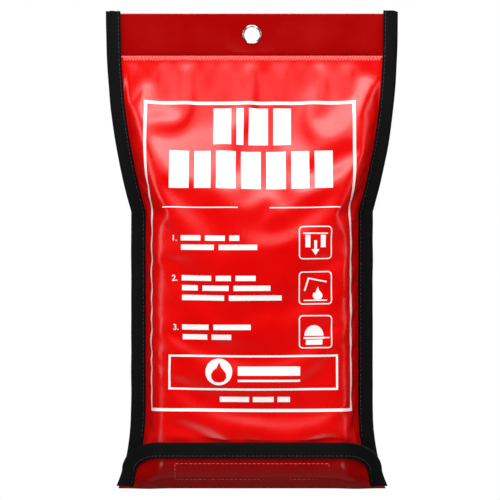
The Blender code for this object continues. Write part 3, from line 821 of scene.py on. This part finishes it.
def settleFront():
    # cloth a little wider and longer than its place, sewn at the sides and top, pressed out over the pack
    scale = frontSheet["scale"]
    order = {}

    def place(across, along):
        return Vector(frontGrid[rowAndColumn(across, along)]) * scale

    work = bmesh.new()
    bmesh.ops.create_grid(work, x_segments=frontSheet["columns"], y_segments=frontSheet["rows"], size=0.5)
    for point in work.verts:
        order[point.index] = rowAndColumn(point.co.x + 0.5, point.co.y + 0.5)
        point.co = place(point.co.x + 0.5, point.co.y + 0.5)
    data = bpy.data.meshes.new("front_cloth")
    work.to_mesh(data)
    work.free()
    cloth = bpy.data.objects.new("front_cloth", data)
    bpy.context.scene.collection.objects.link(cloth)
    held = cloth.vertex_groups.new(name="sewn")
    for index, (row, column) in order.items():
        z = frontRowZ[row]
        x = abs(frontGrid[row, column, 0])
        if x > sectionHalf(z) - 0.3 * mm or z > riseStart - 1.0 * mm or row == 0:
            held.add([index], 1.0, "REPLACE")
    block = bmesh.new()
    bmesh.ops.create_cube(block, size=1.0)
    middle, size = (packLow + packHigh) / 2, packHigh - packLow
    bmesh.ops.scale(block, vec=size * scale, verts=block.verts)
    bmesh.ops.translate(block, vec=middle * scale, verts=block.verts)
    bmesh.ops.bevel(block, geom=block.edges[:], offset=pouch["packEdge"] * scale, offset_type="OFFSET",
                    affect="EDGES", segments=6, profile=0.5, material=-1)
    packData = bpy.data.meshes.new("pack_block")
    block.to_mesh(packData)
    block.free()
    pack = bpy.data.objects.new("pack_block", packData)
    bpy.context.scene.collection.objects.link(pack)
    hit = pack.modifiers.new("collision", "COLLISION")
    hit.settings.thickness_outer = 0.01
    hit.settings.cloth_friction = 8.0
    sim = cloth.modifiers.new("cloth", "CLOTH")
    rule = sim.settings
    rule.quality = 8
    rule.mass = 0.4
    rule.air_damping = 4.0
    rule.tension_stiffness = rule.compression_stiffness = frontSheet["tension"]
    rule.shear_stiffness = frontSheet["tension"] / 2
    rule.bending_stiffness = frontSheet["bending"]
    rule.tension_damping = rule.compression_damping = 15.0
    rule.bending_damping = 1.0
    rule.shrink_min = -frontSheet["slack"]
    rule.vertex_group_mass = "sewn"
    rule.effector_weights.gravity = 0.1
    sim.collision_settings.distance_min = 0.012
    sim.collision_settings.use_self_collision = False
    scene = bpy.context.scene
    sim.point_cache.frame_start, sim.point_cache.frame_end = 1, frontSheet["steps"]
    for step in range(1, frontSheet["steps"] + 1):
        scene.frame_set(step)
    graph = bpy.context.evaluated_depsgraph_get()
    settled = cloth.evaluated_get(graph).to_mesh()
    for index, (row, column) in order.items():
        frontGrid[row, column] = np.array(settled.vertices[index].co) / scale
    cloth.evaluated_get(graph).to_mesh_clear()
    scene.frame_set(1)
    for _ in range(frontSheet["smooth"]):
        inner = frontGrid[1:-1, 1:-1]
        around = frontGrid[:-2, 1:-1] + frontGrid[2:, 1:-1] + frontGrid[1:-1, :-2] + frontGrid[1:-1, 2:]
        inner += (around / 4 - inner) * 0.5
    for used in (cloth, pack):
        bpy.data.objects.remove(used, do_unlink=True)


settleFront()
print("front panel settled")


def makeFrontSheet():
    def place(across, along):
        return frontGrid[rowAndColumn(across, along)]

    work = layGrid(frontSheet["columns"], frontSheet["rows"], place, (0.19, 0.265))
    piece = finishPiece("front_sheet", work, redPvc, None, ["front_panel"])
    thicken(piece, sheet)
    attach(piece, "pouch")


makeFrontSheet()

# way out of the sheet at each of its grid points
rowWay = np.gradient(frontGrid, axis=0)
columnWay = np.gradient(frontGrid, axis=1)
frontOut = np.cross(columnWay, rowWay)
frontOut /= np.linalg.norm(frontOut, axis=2, keepdims=True)


def onFront(u, z, lift):
    # a point of the printed pattern: u along the sheet from its middle, z its height on the flat cut
    row = clamp((z - frontRowZ[0]) / (frontRowZ[-1] - frontRowZ[0])) * frontSheet["rows"]
    low = min(int(row), frontSheet["rows"] - 1)
    step = frontSections[low][0][-1] / frontMiddle
    column = clamp(frontMiddle + u / step, 0, frontSheet["columns"])
    left = min(int(column), frontSheet["columns"] - 1)
    a, b = row - low, column - left
    corners = ((low, left, (1 - a) * (1 - b)), (low, left + 1, (1 - a) * b),
               (low + 1, left, a * (1 - b)), (low + 1, left + 1, a * b))
    spot = sum(frontGrid[r, c] * w for r, c, w in corners)
    out = sum(frontOut[r, c] * w for r, c, w in corners)
    return Vector(spot + out / np.linalg.norm(out) * lift)


# print: ink laid on the front panel, all of it plain shapes and numerals
ink = {"line": 2.0 * mm, "lift": 0.09 * mm, "thickness": 0.05 * mm, "step": 1.7 * mm}
frameLeft, frameRight = -70.6 * mm, 67.8 * mm
frameTop, frameBottom = -42.8 * mm, -245.5 * mm


def inkBar(work, x0, z0, x1, z1):
    columns = max(int(math.ceil(abs(x1 - x0) / ink["step"])), 1)
    rows = max(int(math.ceil(abs(z1 - z0) / ink["step"])), 1)
    centre = Matrix.Translation(((x0 + x1) / 2, (z0 + z1) / 2, 0))
    fit = centre @ Matrix.Diagonal((abs(x1 - x0), abs(z1 - z0), 1, 1))
    bmesh.ops.create_grid(work, x_segments=columns, y_segments=rows, size=0.5, matrix=fit)


def inkFrame(work, x0, z0, x1, z1, line):
    inkBar(work, x0, z1 - line, x1, z1)
    inkBar(work, x0, z0, x1, z0 + line)
    inkBar(work, x0, z0 + line, x0 + line, z1 - line)
    inkBar(work, x1 - line, z0 + line, x1, z1 - line)


def inkShape(work, points):
    work.faces.new([work.verts.new((x, z, 0.0)) for x, z in points])


def inkRoundFrame(work, x, z, side, corner, line):
    inner = side / 2 - corner
    outline = []
    for quarter, (across, up) in enumerate(((1, 1), (-1, 1), (-1, -1), (1, -1))):
        for step in range(6):
            angle = math.pi / 2 * (quarter + step / 5)
            outline.append((x + across * inner + corner * math.cos(angle), 0.0,
                            z + up * inner + corner * math.sin(angle)))
    places, _, _ = evenPoints(outline + outline[:1], 1.2 * mm)
    face = work.faces.new([work.verts.new((p.x, p.z, 0.0)) for p in places[:-1]])
    work.normal_update()
    bmesh.ops.inset_region(work, faces=[face], thickness=line, use_even_offset=True, use_boundary=True)
    bmesh.ops.delete(work, geom=[face], context="FACES_ONLY")


def refineInk(work):
    # short edges everywhere, so that the ink bends with the sheet below it
    bmesh.ops.triangulate(work, faces=[f for f in work.faces if len(f.verts) > 4])
    for _ in range(4):
        long = [edge for edge in work.edges if edge.calc_length() > ink["step"]]
        bmesh.ops.subdivide_edges(work, edges=long, cuts=1, use_grid_fill=True)
        bmesh.ops.triangulate(work, faces=[f for f in work.faces if len(f.verts) > 4])


def inkDisc(work, x, z, radius):
    bmesh.ops.create_circle(work, cap_ends=True, radius=radius, segments=40,
                            matrix=Matrix.Translation((x, z, 0)))


flameLeft = [(0.0, -0.5), (-0.22, -0.46), (-0.36, -0.3), (-0.38, -0.1), (-0.28, 0.08), (-0.2, -0.04),
             (-0.12, 0.2)]
flameRight = [(0.02, 0.52), (0.1, 0.26), (0.24, 0.08), (0.36, -0.08), (0.37, -0.28), (0.24, -0.45)]


def flamePoints(x, z, size):
    return [(x + px * size, z + pz * size) for px, pz in (flameLeft + flameRight)[::-1]]


def inkNumeral(work, text, x, z, height):
    capShare = 0.73  # the font's figures stand this share of its size
    curve = bpy.data.curves.new("numeral", "FONT")
    curve.body = text
    curve.size = height / capShare
    curve.offset = 0.02 * height
    made = bpy.data.objects.new("numeral", curve)
    bpy.context.scene.collection.objects.link(made)
    graph = bpy.context.evaluated_depsgraph_get()
    flat = bpy.data.meshes.new_from_object(made.evaluated_get(graph))
    flat.transform(Matrix.Translation((x, z, 0)))
    work.from_mesh(flat)
    bpy.data.objects.remove(made, do_unlink=True)
    bpy.data.meshes.remove(flat)


def blockRow(work, widths, x0, x1, z0, z1, gapShare):
    # plain blocks, one for each letter or word of a line of text
    total = sum(widths) + gapShare * (len(widths) - 1)
    unit = (x1 - x0) / total
    x = x0
    for width in widths:
        inkBar(work, x, z0, x + width * unit, z1)
        x += (width + gapShare) * unit


# where the print lies on the flat sheet, in millimetres
titleRows = [
    {"widths": (1.0, 0.4, 1.1, 1.0), "x": (-25.0, 25.5), "z": (-70.7, -47.1)},
    {"widths": (1.1, 0.9, 1.1, 1.1, 1.1, 1.0, 1.0), "x": (-53.5, 52.5), "z": (-100.3, -75.1)},
]
textLines = [
    {"words": (4, 4, 2), "x": (-45.7, -8.0), "z": -131.1},
    {"words": (6, 7), "x": (-45.5, 3.5), "z": -137.1},
    {"words": (6, 3, 4), "x": (-45.4, 2.5), "z": -157.0},
    {"words": (3, 5, 7), "x": (-45.0, 12.0), "z": -163.4},
    {"words": (8, 10), "x": (-44.9, 19.3), "z": -169.7},
    {"words": (5, 7), "x": (-44.8, -0.7), "z": -188.7},
    {"words": (5, 4), "x": (-44.4, -13.2), "z": -195.1},
    {"words": (7, 5, 3), "x": (-20.5, 24.5), "z": -235.6},
]
lettering = {"titleGap": 0.3, "wordGap": 0.9, "wordHeight": 3.4, "numeralHeight": 3.9, "numeralDrop": 3.7}
numerals = [("1.", -52.2, -131.1), ("2.", -51.8, -157.0), ("3.", -50.8, -188.7)]
ruleBars = [(-58, -113.2, -9, -112.5), (11.5, -113.2, 57.5, -112.5)]
iconFrame = {"side": 21.5, "corner": 2.4, "line": 0.7}
tabsIcon = {  # two tabs hanging from a bar and an arrow down
    "place": (41.0, -135.8),
    "bars": [(-8, 5.6, 8, 6.4), (-6.6, -3.0, -3.4, 5.0), (3.4, -3.0, 6.6, 5.0), (-0.9, -4.0, 0.9, 1.5)],
    "shapes": [[(-2.6, -4.2), (0, -8.0), (2.6, -4.2)]],
}
coverIcon = {  # a blanket held slanting over a flame
    "place": (41.0, -165.2),
    "bars": [(-7.5, -8.4, 7.5, -7.7)],
    "shapes": [flamePoints(1.5, -3.4, 8.4),
               [(-7.5, -1.5), (-4.8, 6.8), (-3.9, 6.4), (-6.5, -1.9)],
               [(-4.8, 6.8), (7.4, 4.4), (7.2, 3.5), (-4.6, 5.9)]],
}
panIcon = {  # a pan left covered, its handle to one side
    "place": (41.0, -193.6),
    "bars": [(-7.6, -4.6, 5.8, -3.4), (5.8, -4.3, 9.0, -3.6), (-6.2, -8.4, 4.4, -5.2)],
    "shapes": [[(-1.0 + 6.2 * math.cos(a), -2.6 + 7.0 * math.sin(a))
                for a in np.linspace(0, math.pi, 15)]],
}
label = {
    "frame": (-53.7, -231.4, 55.6, -208.6), "line": 1.3, "disc": (-21.2, -219.5, 8.6),
    "bars": [(-9.0, -221.9, 31.0, -216.0), (-9.0, -225.9, 31.0, -224.5)], "flame": (-21.2, -219.7, 13.0),
}


def inMetres(values):
    return [value * mm for value in values]


def inkIcon(work, icon):
    x, z = inMetres(icon["place"])
    inkRoundFrame(work, x, z, *inMetres(iconFrame.values()))
    for x0, z0, x1, z1 in map(inMetres, icon["bars"]):
        inkBar(work, x + x0, z + z0, x + x1, z + z1)
    for shape in icon["shapes"]:
        inkShape(work, [(x + px, z + pz) for px, pz in map(inMetres, shape)])


def layInk(name, work, material, lift):
    # bends the flat print onto the sheet and gives it the thickness of ink
    refineInk(work)
    for point in work.verts:
        point.co = onFront(point.co.x, point.co.y, sheet / 2 + lift)
    piece = finishPiece(name, work, material, None, smooth=False)
    thicken(piece, ink["thickness"], even=False)
    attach(piece, "pouch")


def makePrint():
    work = bmesh.new()
    inkFrame(work, frameLeft, frameBottom, frameRight, frameTop, ink["line"])
    for row in titleRows:
        blockRow(work, row["widths"], *inMetres(row["x"] + row["z"]), lettering["titleGap"])
    for bar in ruleBars:
        inkBar(work, *inMetres(bar))
    for row in textLines:
        heights = (row["z"] - lettering["wordHeight"], row["z"])
        blockRow(work, row["words"], *inMetres(row["x"] + heights), lettering["wordGap"])
    for text, x, z in numerals:
        inkNumeral(work, text, *inMetres((x, z - lettering["numeralDrop"], lettering["numeralHeight"])))
    for icon in (tabsIcon, coverIcon, panIcon):
        inkIcon(work, icon)
    inkFrame(work, *inMetres(label["frame"]), label["line"] * mm)
    inkDisc(work, *inMetres(label["disc"]))
    for bar in label["bars"]:
        inkBar(work, *inMetres(bar))
    layInk("front_print", work, whiteInk, ink["lift"])
    red = bmesh.new()
    inkShape(red, flamePoints(*inMetres(label["flame"])))
    layInk("label_flame", red, redPvc, 3 * ink["lift"])


makePrint()
print("front panel printed")


# zigzag seam that holds the front panel on the header
headerSeam = {"drop": 0.7 * mm, "zigzag": 1.83 * mm, "stitch": 3.3 * mm, "thread": 0.62 * mm}


def makeHeaderSeam():
    high = pouch["frontTop"] - headerSeam["drop"]
    low = pouch["frontTop"] - pouch["seamHeight"]
    y = frontMid - sheet / 2 - 0.12 * mm
    reach = outerHalf(pouch["frontTop"]) - pouch["tapeWidth"] - 0.8 * mm
    step = headerSeam["zigzag"] / 2
    count = int(reach / step)
    spots = []
    for index in range(-count, count):
        z0, z1 = (low, high) if index % 2 else (high, low)
        a, b = Vector((index * step, y, z0)), Vector(((index + 1) * step, y, z1))
        spots.append(((a + b) / 2, (b - a).normalized(), Vector((0, -1, 0))))
    stitchRow("header_zigzag_stitches", spots, redThread, "pouch",
              ["header_seam_stitching"], headerSeam["stitch"], headerSeam["thread"])


makeHeaderSeam()


# side tapes, folded over the seams
sideTape = {
    "rib": 1.3 * mm, "ribHeight": 0.06 * mm, "legs": 7, "turns": 8, "sway": 0.22 * mm, "cutEnd": 2.4 * mm,
    "seamInset": 1.5 * mm, "stitchPitch": 2.8 * mm, "stitch": 2.3 * mm, "thread": 0.4 * mm,
}


def tapeShares(reach, legGap, legSteps, turnSteps):
    turn = legGap / 2
    leg = reach - turn
    length = 2 * leg + math.pi * turn
    first = [leg / length * i / legSteps for i in range(legSteps)]
    middle = [(leg + math.pi * turn * i / turnSteps) / length for i in range(turnSteps + 1)]
    return first + middle + [1.0 - s for s in reversed(first)], length


def makeSideTape(name, side):
    legGap = -tapeFrontMid - tape / 2
    centre = (-tape / 2 + tapeFrontMid) / 2
    reach = pouch["tapeWidth"]
    section, width = tapeShares(reach, legGap, sideTape["legs"], sideTape["turns"])
    foot = foldZ + sheet / 2 + 4 * gap
    top = pouch["tapeTop"]
    rows = int((top - foot) / sideTape["rib"] * 2)
    last = len(section) - 1

    def place(across, along):
        step = round(along * rows)
        z = foot + (top - foot) * along
        inset, face, out = hemSection(section[round(across * last)], reach, legGap)
        rib = sideTape["ribHeight"] * (1.0 if step % 2 else -1.0)
        edge = outerHalf(z) + sideTape["sway"] * noise.noise(Vector((side * 3.0, 0.4, z * 60)))
        x = side * (edge - inset + out[0] * rib)
        y = centre - face * legGap / 2 - out[1] * rib
        # its cut top end slopes down on the right and is ragged on the left
        end = smoothStep((z - top) / sideTape["cutEnd"] + 1.0)
        if side > 0:
            z -= end * 1.1 * mm * (1.0 - clamp(inset / (3.5 * mm))) ** 2
        else:
            z -= end * (0.5 * mm + 0.6 * mm * noise.noise(Vector((inset * 900, face * 2.0, 4.4))))
        return x, min(y, -tape / 2), z

    work = layGrid(last, rows, place, (width, top - foot))
    piece = finishPiece(f"{name}_edge_tape", work, blackTape, None, [f"{name}_binding"])
    thicken(piece, tape, even=False)
    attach(piece, "pouch")
    line = [Vector((side * (outerHalf(z) - reach + sideTape["seamInset"]),
                    tapeFrontMid - tape / 2 - 0.08 * mm, z))
            for z in np.linspace(top - 2 * mm, flapEdgeZ + 4 * mm, 120)]
    places, ways, _ = evenPoints(line, sideTape["stitchPitch"])
    spots = [(p, w, Vector((0, -1, 0))) for p, w in zip(places, ways)]
    stitchRow(f"{name}_edge_stitches", spots, blackThread, "pouch",
              [f"{name}_binding_stitching"], sideTape["stitch"], sideTape["thread"])


makeSideTape("left", -1.0)
makeSideTape("right", 1.0)
print("side tapes sewn")


# mouth: the front panel's free lower end with the loop strip
strip = {
    "width": 20.0 * mm, "length": packHigh.x * 2 - 21.0 * mm, "inset": 2.0 * mm, "loopStart": -1.0 * mm,
    "hookStart": 2.5 * mm, "stitchPitch": 2.9 * mm, "stitch": 2.3 * mm, "thread": 0.34 * mm, "steps": 60,
}
lipHalf = packHigh.x - 4.5 * mm


def lipPoint(x, distance, radius):
    y, z = wrapped(distance, radius)
    return Vector((x, frontMid + (y - frontMid) * crown(x, sectionHalf(pouch["mouth"]),
                                                        pouch["sectionPower"]), z))


def flapPoint(x, distance, radius):
    y, z = wrapped(distance, radius)
    return Vector((x, onFlap(x, y), z))


def layStrip(name, start, radius, layer, material, body, nodes):
    def place(across, along):
        return layer(strip["length"] * (across - 0.5), start + strip["width"] * along, radius)

    work = layGrid(52, 22, place, (strip["length"], strip["width"]))
    piece = finishPiece(name, work, material, None, nodes)
    thicken(piece, pouch["strip"] * 0.9)
    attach(piece, body)
    return piece


def stripStitches(name, start, radius, threadRadius, layer, body, nodes):
    half = strip["length"] / 2 - strip["inset"]
    low, high = strip["inset"], strip["width"] - strip["inset"]
    flat = [(-half, low), (half, low), (half, high), (-half, high), (-half, low)]
    steps = strip["steps"]
    spots = []
    for (x0, s0), (x1, s1) in zip(flat, flat[1:]):
        seam = [(x0 + (x1 - x0) * i / steps, start + s0 + (s1 - s0) * i / steps)
                for i in range(steps + 1)]
        run = [layer(x, distance, threadRadius) for x, distance in seam]
        under = [layer(x, distance, radius) for x, distance in seam]
        places, ways, _ = evenPoints(run, strip["stitchPitch"])
        count = len(places) - 1
        for index in range(count):
            at = round((index + 0.5) / count * steps)
            out = (run[at] - under[at]).normalized()
            spots.append(((places[index] + places[index + 1]) / 2, ways[index], out))
    return stitchRow(name, spots, redThread, body, nodes, strip["stitch"], strip["thread"])


mouthSheet = {"overlap": 3.9 * mm, "tail": 9.0 * mm, "tuck": 0.55 * mm, "tuckEnd": 2.7 * mm}


def makeMouth():
    start = -mouthSheet["overlap"]
    end = arcLength + mouthSheet["tail"]

    def place(across, along):
        x = lipHalf * (2 * across - 1)
        distance = start + (end - start) * along
        # the join tucks in behind the front panel's edge
        tuck = mouthSheet["tuck"] * (1.0 - smoothStep((distance + mouthSheet["tuckEnd"]) / (1.5 * mm)))
        return lipPoint(x, distance, lipRadius - tuck)

    work = layGrid(58, 20, place, (2 * lipHalf, end - start))
    piece = finishPiece("mouth_sheet", work, redPvc, None, ["mouth_lip"])
    thicken(piece, sheet)
    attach(piece, "mouth")
    loop = layStrip("loop_tape", strip["loopStart"], loopRadius, lipPoint, loopPile, "mouth",
                    ["loop_strip"])
    stitches = stripStitches("loop_tape_stitches", strip["loopStart"], loopRadius,
                             loopThreadRadius, lipPoint, "mouth", ["loop_strip_stitching"])


makeMouth()


# flap: the back panel's foot, folded up over the mouth and taped round its edge
flapSheet = {"columns": 150, "front": 8, "arc": 16, "slope": 12, "puff": 2.4 * mm}
flapFoot = foldZ + 2.2 * mm
flapPieces = []


def flapPuff(x, z):
    # the doubled corners stand proud of the side tapes, and the middle bows between the stitches
    corner = math.exp(-((abs(x) - 68 * mm) / (9 * mm)) ** 2 - ((z - (foldZ + 7 * mm)) / (5 * mm)) ** 2)
    wave = noise.noise(Vector((x * 30, 2.2, z * 45)))
    low = smoothStep((flapEdgeZ - pouch["tapeWidth"] - z) / (6 * mm)) * smoothStep((z - foldZ) / (4 * mm))
    return flapSheet["puff"] * corner + 0.5 * mm * wave * low


def makeFlapSheet():
    frontRows, arcRows, slopeRows = flapSheet["front"], flapSheet["arc"], flapSheet["slope"]
    rows = frontRows + arcRows + slopeRows
    top = -(flapEdgeZ - edgeZ) + pouch["edgeInset"]

    def place(across, along):
        step = round(along * rows)
        if step <= frontRows:
            distance = top * (1.0 - step / frontRows)
        elif step <= frontRows + arcRows:
            distance = arcLength * (step - frontRows) / arcRows
        else:
            distance = arcLength + (flapEnd - arcLength) * (step - frontRows - arcRows) / slopeRows
        y, z = wrapped(distance, flapRadius)
        x = (flapHalf(z + pouch["edgeInset"]) - pouch["edgeInset"]) * (2 * across - 1)
        spot = Vector((x, onFlap(x, y), z))
        return spot + flapNormal(x, z) * flapPuff(x, z)

    work = layGrid(flapSheet["columns"], rows, place, (0.17, flapEnd - top))
    # the flap takes the darker back-sheet red, partly as painted shade where it faces down
    piece = finishPiece("flap_sheet", work, backPvcWithShade, None, ["flap_panel"])
    thicken(piece, sheet, even=False)
    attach(piece, "flap")
    flapPieces.append(piece)
    return piece, flapEnd - top


def flapOutline():
    corner = flapEdgeZ - flapCorner["height"]
    full = outerHalf(corner)
    sideSteps, cornerSteps, topSteps = 12, 24, 20
    heights = [flapFoot + (corner - flapFoot) * i / sideSteps for i in range(sideSteps)]
    right = [(outerHalf(z), z) for z in heights]
    for i in range(cornerSteps):
        angle = math.pi / 2 * i / cornerSteps
        right.append((flapCorner["half"] + (full - flapCorner["half"]) * math.cos(angle),
                      corner + flapCorner["height"] * math.sin(angle)))
    right += [(flapCorner["half"] * (1 - i / topSteps), flapEdgeZ) for i in range(topSteps)]
    return [(-x, z) for x, z in right] + [(0.0, flapEdgeZ)] + right[::-1]


def makeFlapTape():
    places, ways, at = evenPoints([(x, 0.0, z) for x, z in flapOutline()], sideTape["rib"] / 2)
    legGap = sheet + 2 * flapBindingGap + tape
    reach = pouch["tapeWidth"] + 0.7 * mm
    section, width = tapeShares(reach, legGap, 9, 6)
    last, count = len(section) - 1, len(places) - 1

    def inward(step):
        return Vector((ways[step].z, 0.0, -ways[step].x))

    def place(across, along):
        step = round(along * count)
        inset, face, _ = hemSection(section[round(across * last)], reach, legGap)
        spot = places[step] + inward(step) * inset
        spot.z = max(spot.z, flapFoot)
        normal = flapNormal(spot.x, spot.z)
        rib = sideTape["ribHeight"] * (1.0 if step % 2 else -1.0)
        centre = Vector((spot.x, flapSurface(spot.x, spot.z), spot.z))
        return centre + normal * (face * (legGap / 2 + rib))

    work = layGrid(last, count, place, (width, at[-1]))
    piece = finishPiece("flap_edge_tape", work, blackTape, None, ["flap_binding"])
    thicken(piece, tape, even=False)
    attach(piece, "flap")
    flapPieces.append(piece)
    spots = []
    lift = legGap / 2 + tape / 2 + 0.08 * mm
    for step in range(10, count - 9, 4):
        spot = places[step] + inward(step) * (reach - 1.5 * mm)
        normal = flapNormal(spot.x, spot.z)
        spots.append((Vector((spot.x, flapSurface(spot.x, spot.z), spot.z)) + normal * lift, ways[step],
                      normal))
    stitches = stitchRow("flap_edge_stitches", spots, blackThread, "flap",
                         ["flap_binding_stitching"], 2.1 * mm, 0.4 * mm)
    flapPieces.append(stitches)
    return piece, stitches


def makeFlap():
    piece, length = makeFlapSheet()
    edge, edgeStitches = makeFlapTape()
    hook = layStrip("hook_tape", strip["hookStart"], hookRadius, flapPoint, hookPile, "flap",
                    ["hook_strip"])
    rows = stripStitches("hook_tape_stitches", strip["hookStart"], hookRadius,
                         hookThreadRadius, flapPoint, "flap", ["hook_strip_stitching"])
    flapPieces.extend([hook, rows])
    for part in flapPieces:
        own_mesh(part)


makeFlap()
print("flap and mouth made")


# studio: pale floor, overhead softbox, side fills and the camera
studio = {
    "floorZ": foldZ - 2.2, "floorRadius": 1.5, "white": "#F4F4F2", "air": 0.04,
    "distance": 3.27, "lens": 360.0, "lookX": -1.3 * mm, "lookZ": -141.0 * mm,
}
softboxes = {
    "slope": {"place": (0.0, -1.0, 0.7), "size": (1.0, 0.6), "watts": 3.3},
    "overhead": {"place": (0.0, -0.8, 1.0), "size": (1.2, 0.5), "watts": 21.0},
    "left": {"place": (-1.1, -0.62, 0.2), "size": (0.4, 0.9), "watts": 5.5},
    "right": {"place": (1.15, -0.5, 0.2), "size": (0.35, 0.9), "watts": 3.0},
    "lowLeft": {"place": (-0.55, -0.8, -0.95), "size": (0.3, 0.3), "watts": 3.2},
    "lowRight": {"place": (0.55, -0.8, -0.95), "size": (0.3, 0.3), "watts": 3.2},
    "behind": {"place": (0.35, 1.2, 0.5), "size": (1.0, 0.8), "watts": 16.0},
}


def makeFloor():
    work = bmesh.new()
    bmesh.ops.create_circle(work, cap_ends=True, radius=studio["floorRadius"], segments=96,
                            matrix=Matrix.Translation((0, 0, studio["floorZ"])))
    data = bpy.data.meshes.new("studio_floor")
    work.to_mesh(data)
    work.free()
    paint, _, _, _ = startMaterial("matt_floor_paint", studio["white"], {"Roughness": 0.9})
    data.materials.append(paint)
    floor = bpy.data.objects.new("studio_floor", data)
    bpy.context.scene.collection.objects.link(floor)


def makeAir():
    # white behind the object, and little light from all round, so that the softboxes shape it
    world = bpy.data.worlds.new("studio_air")
    world.use_nodes = True
    tree = world.node_tree
    glow = tree.nodes["Background"]
    glow.inputs["Color"].default_value = (1.0, 1.0, 1.0, 1.0)
    path = addNode(tree, "ShaderNodeLightPath")
    seen = addNode(tree, "ShaderNodeMapRange", {"To Min": studio["air"], "To Max": 1.0},
                   {"Value": path.outputs["Is Camera Ray"]})
    tree.links.new(seen.outputs["Result"], glow.inputs["Strength"])
    bpy.context.scene.world = world


def makeStudio():
    makeFloor()
    makeAir()
    target = Vector((0.0, -0.02, studio["lookZ"]))
    for name, box in softboxes.items():
        lamp = bpy.data.lights.new(f"{name}_softbox", "AREA")
        lamp.shape = "RECTANGLE"
        lamp.size, lamp.size_y = box["size"]
        lamp.energy = box["watts"]
        made = bpy.data.objects.new(f"{name}_softbox", lamp)
        made.location = box["place"]
        made.rotation_euler = (target - made.location).to_track_quat("-Z", "Y").to_euler()
        made.visible_camera = False
        bpy.context.scene.collection.objects.link(made)
    bpy.context.scene.view_settings.view_transform = "Standard"
    lens = bpy.data.cameras.new("front_camera")
    lens.lens = studio["lens"]
    lens.sensor_width = 36.0
    camera = bpy.data.objects.new("front_camera", lens)
    camera.location = (studio["lookX"], tapeFrontMid - studio["distance"], studio["lookZ"])
    camera.rotation_euler = (math.pi / 2, 0, 0)
    bpy.context.scene.collection.objects.link(camera)
    bpy.context.scene.camera = camera


makeStudio()
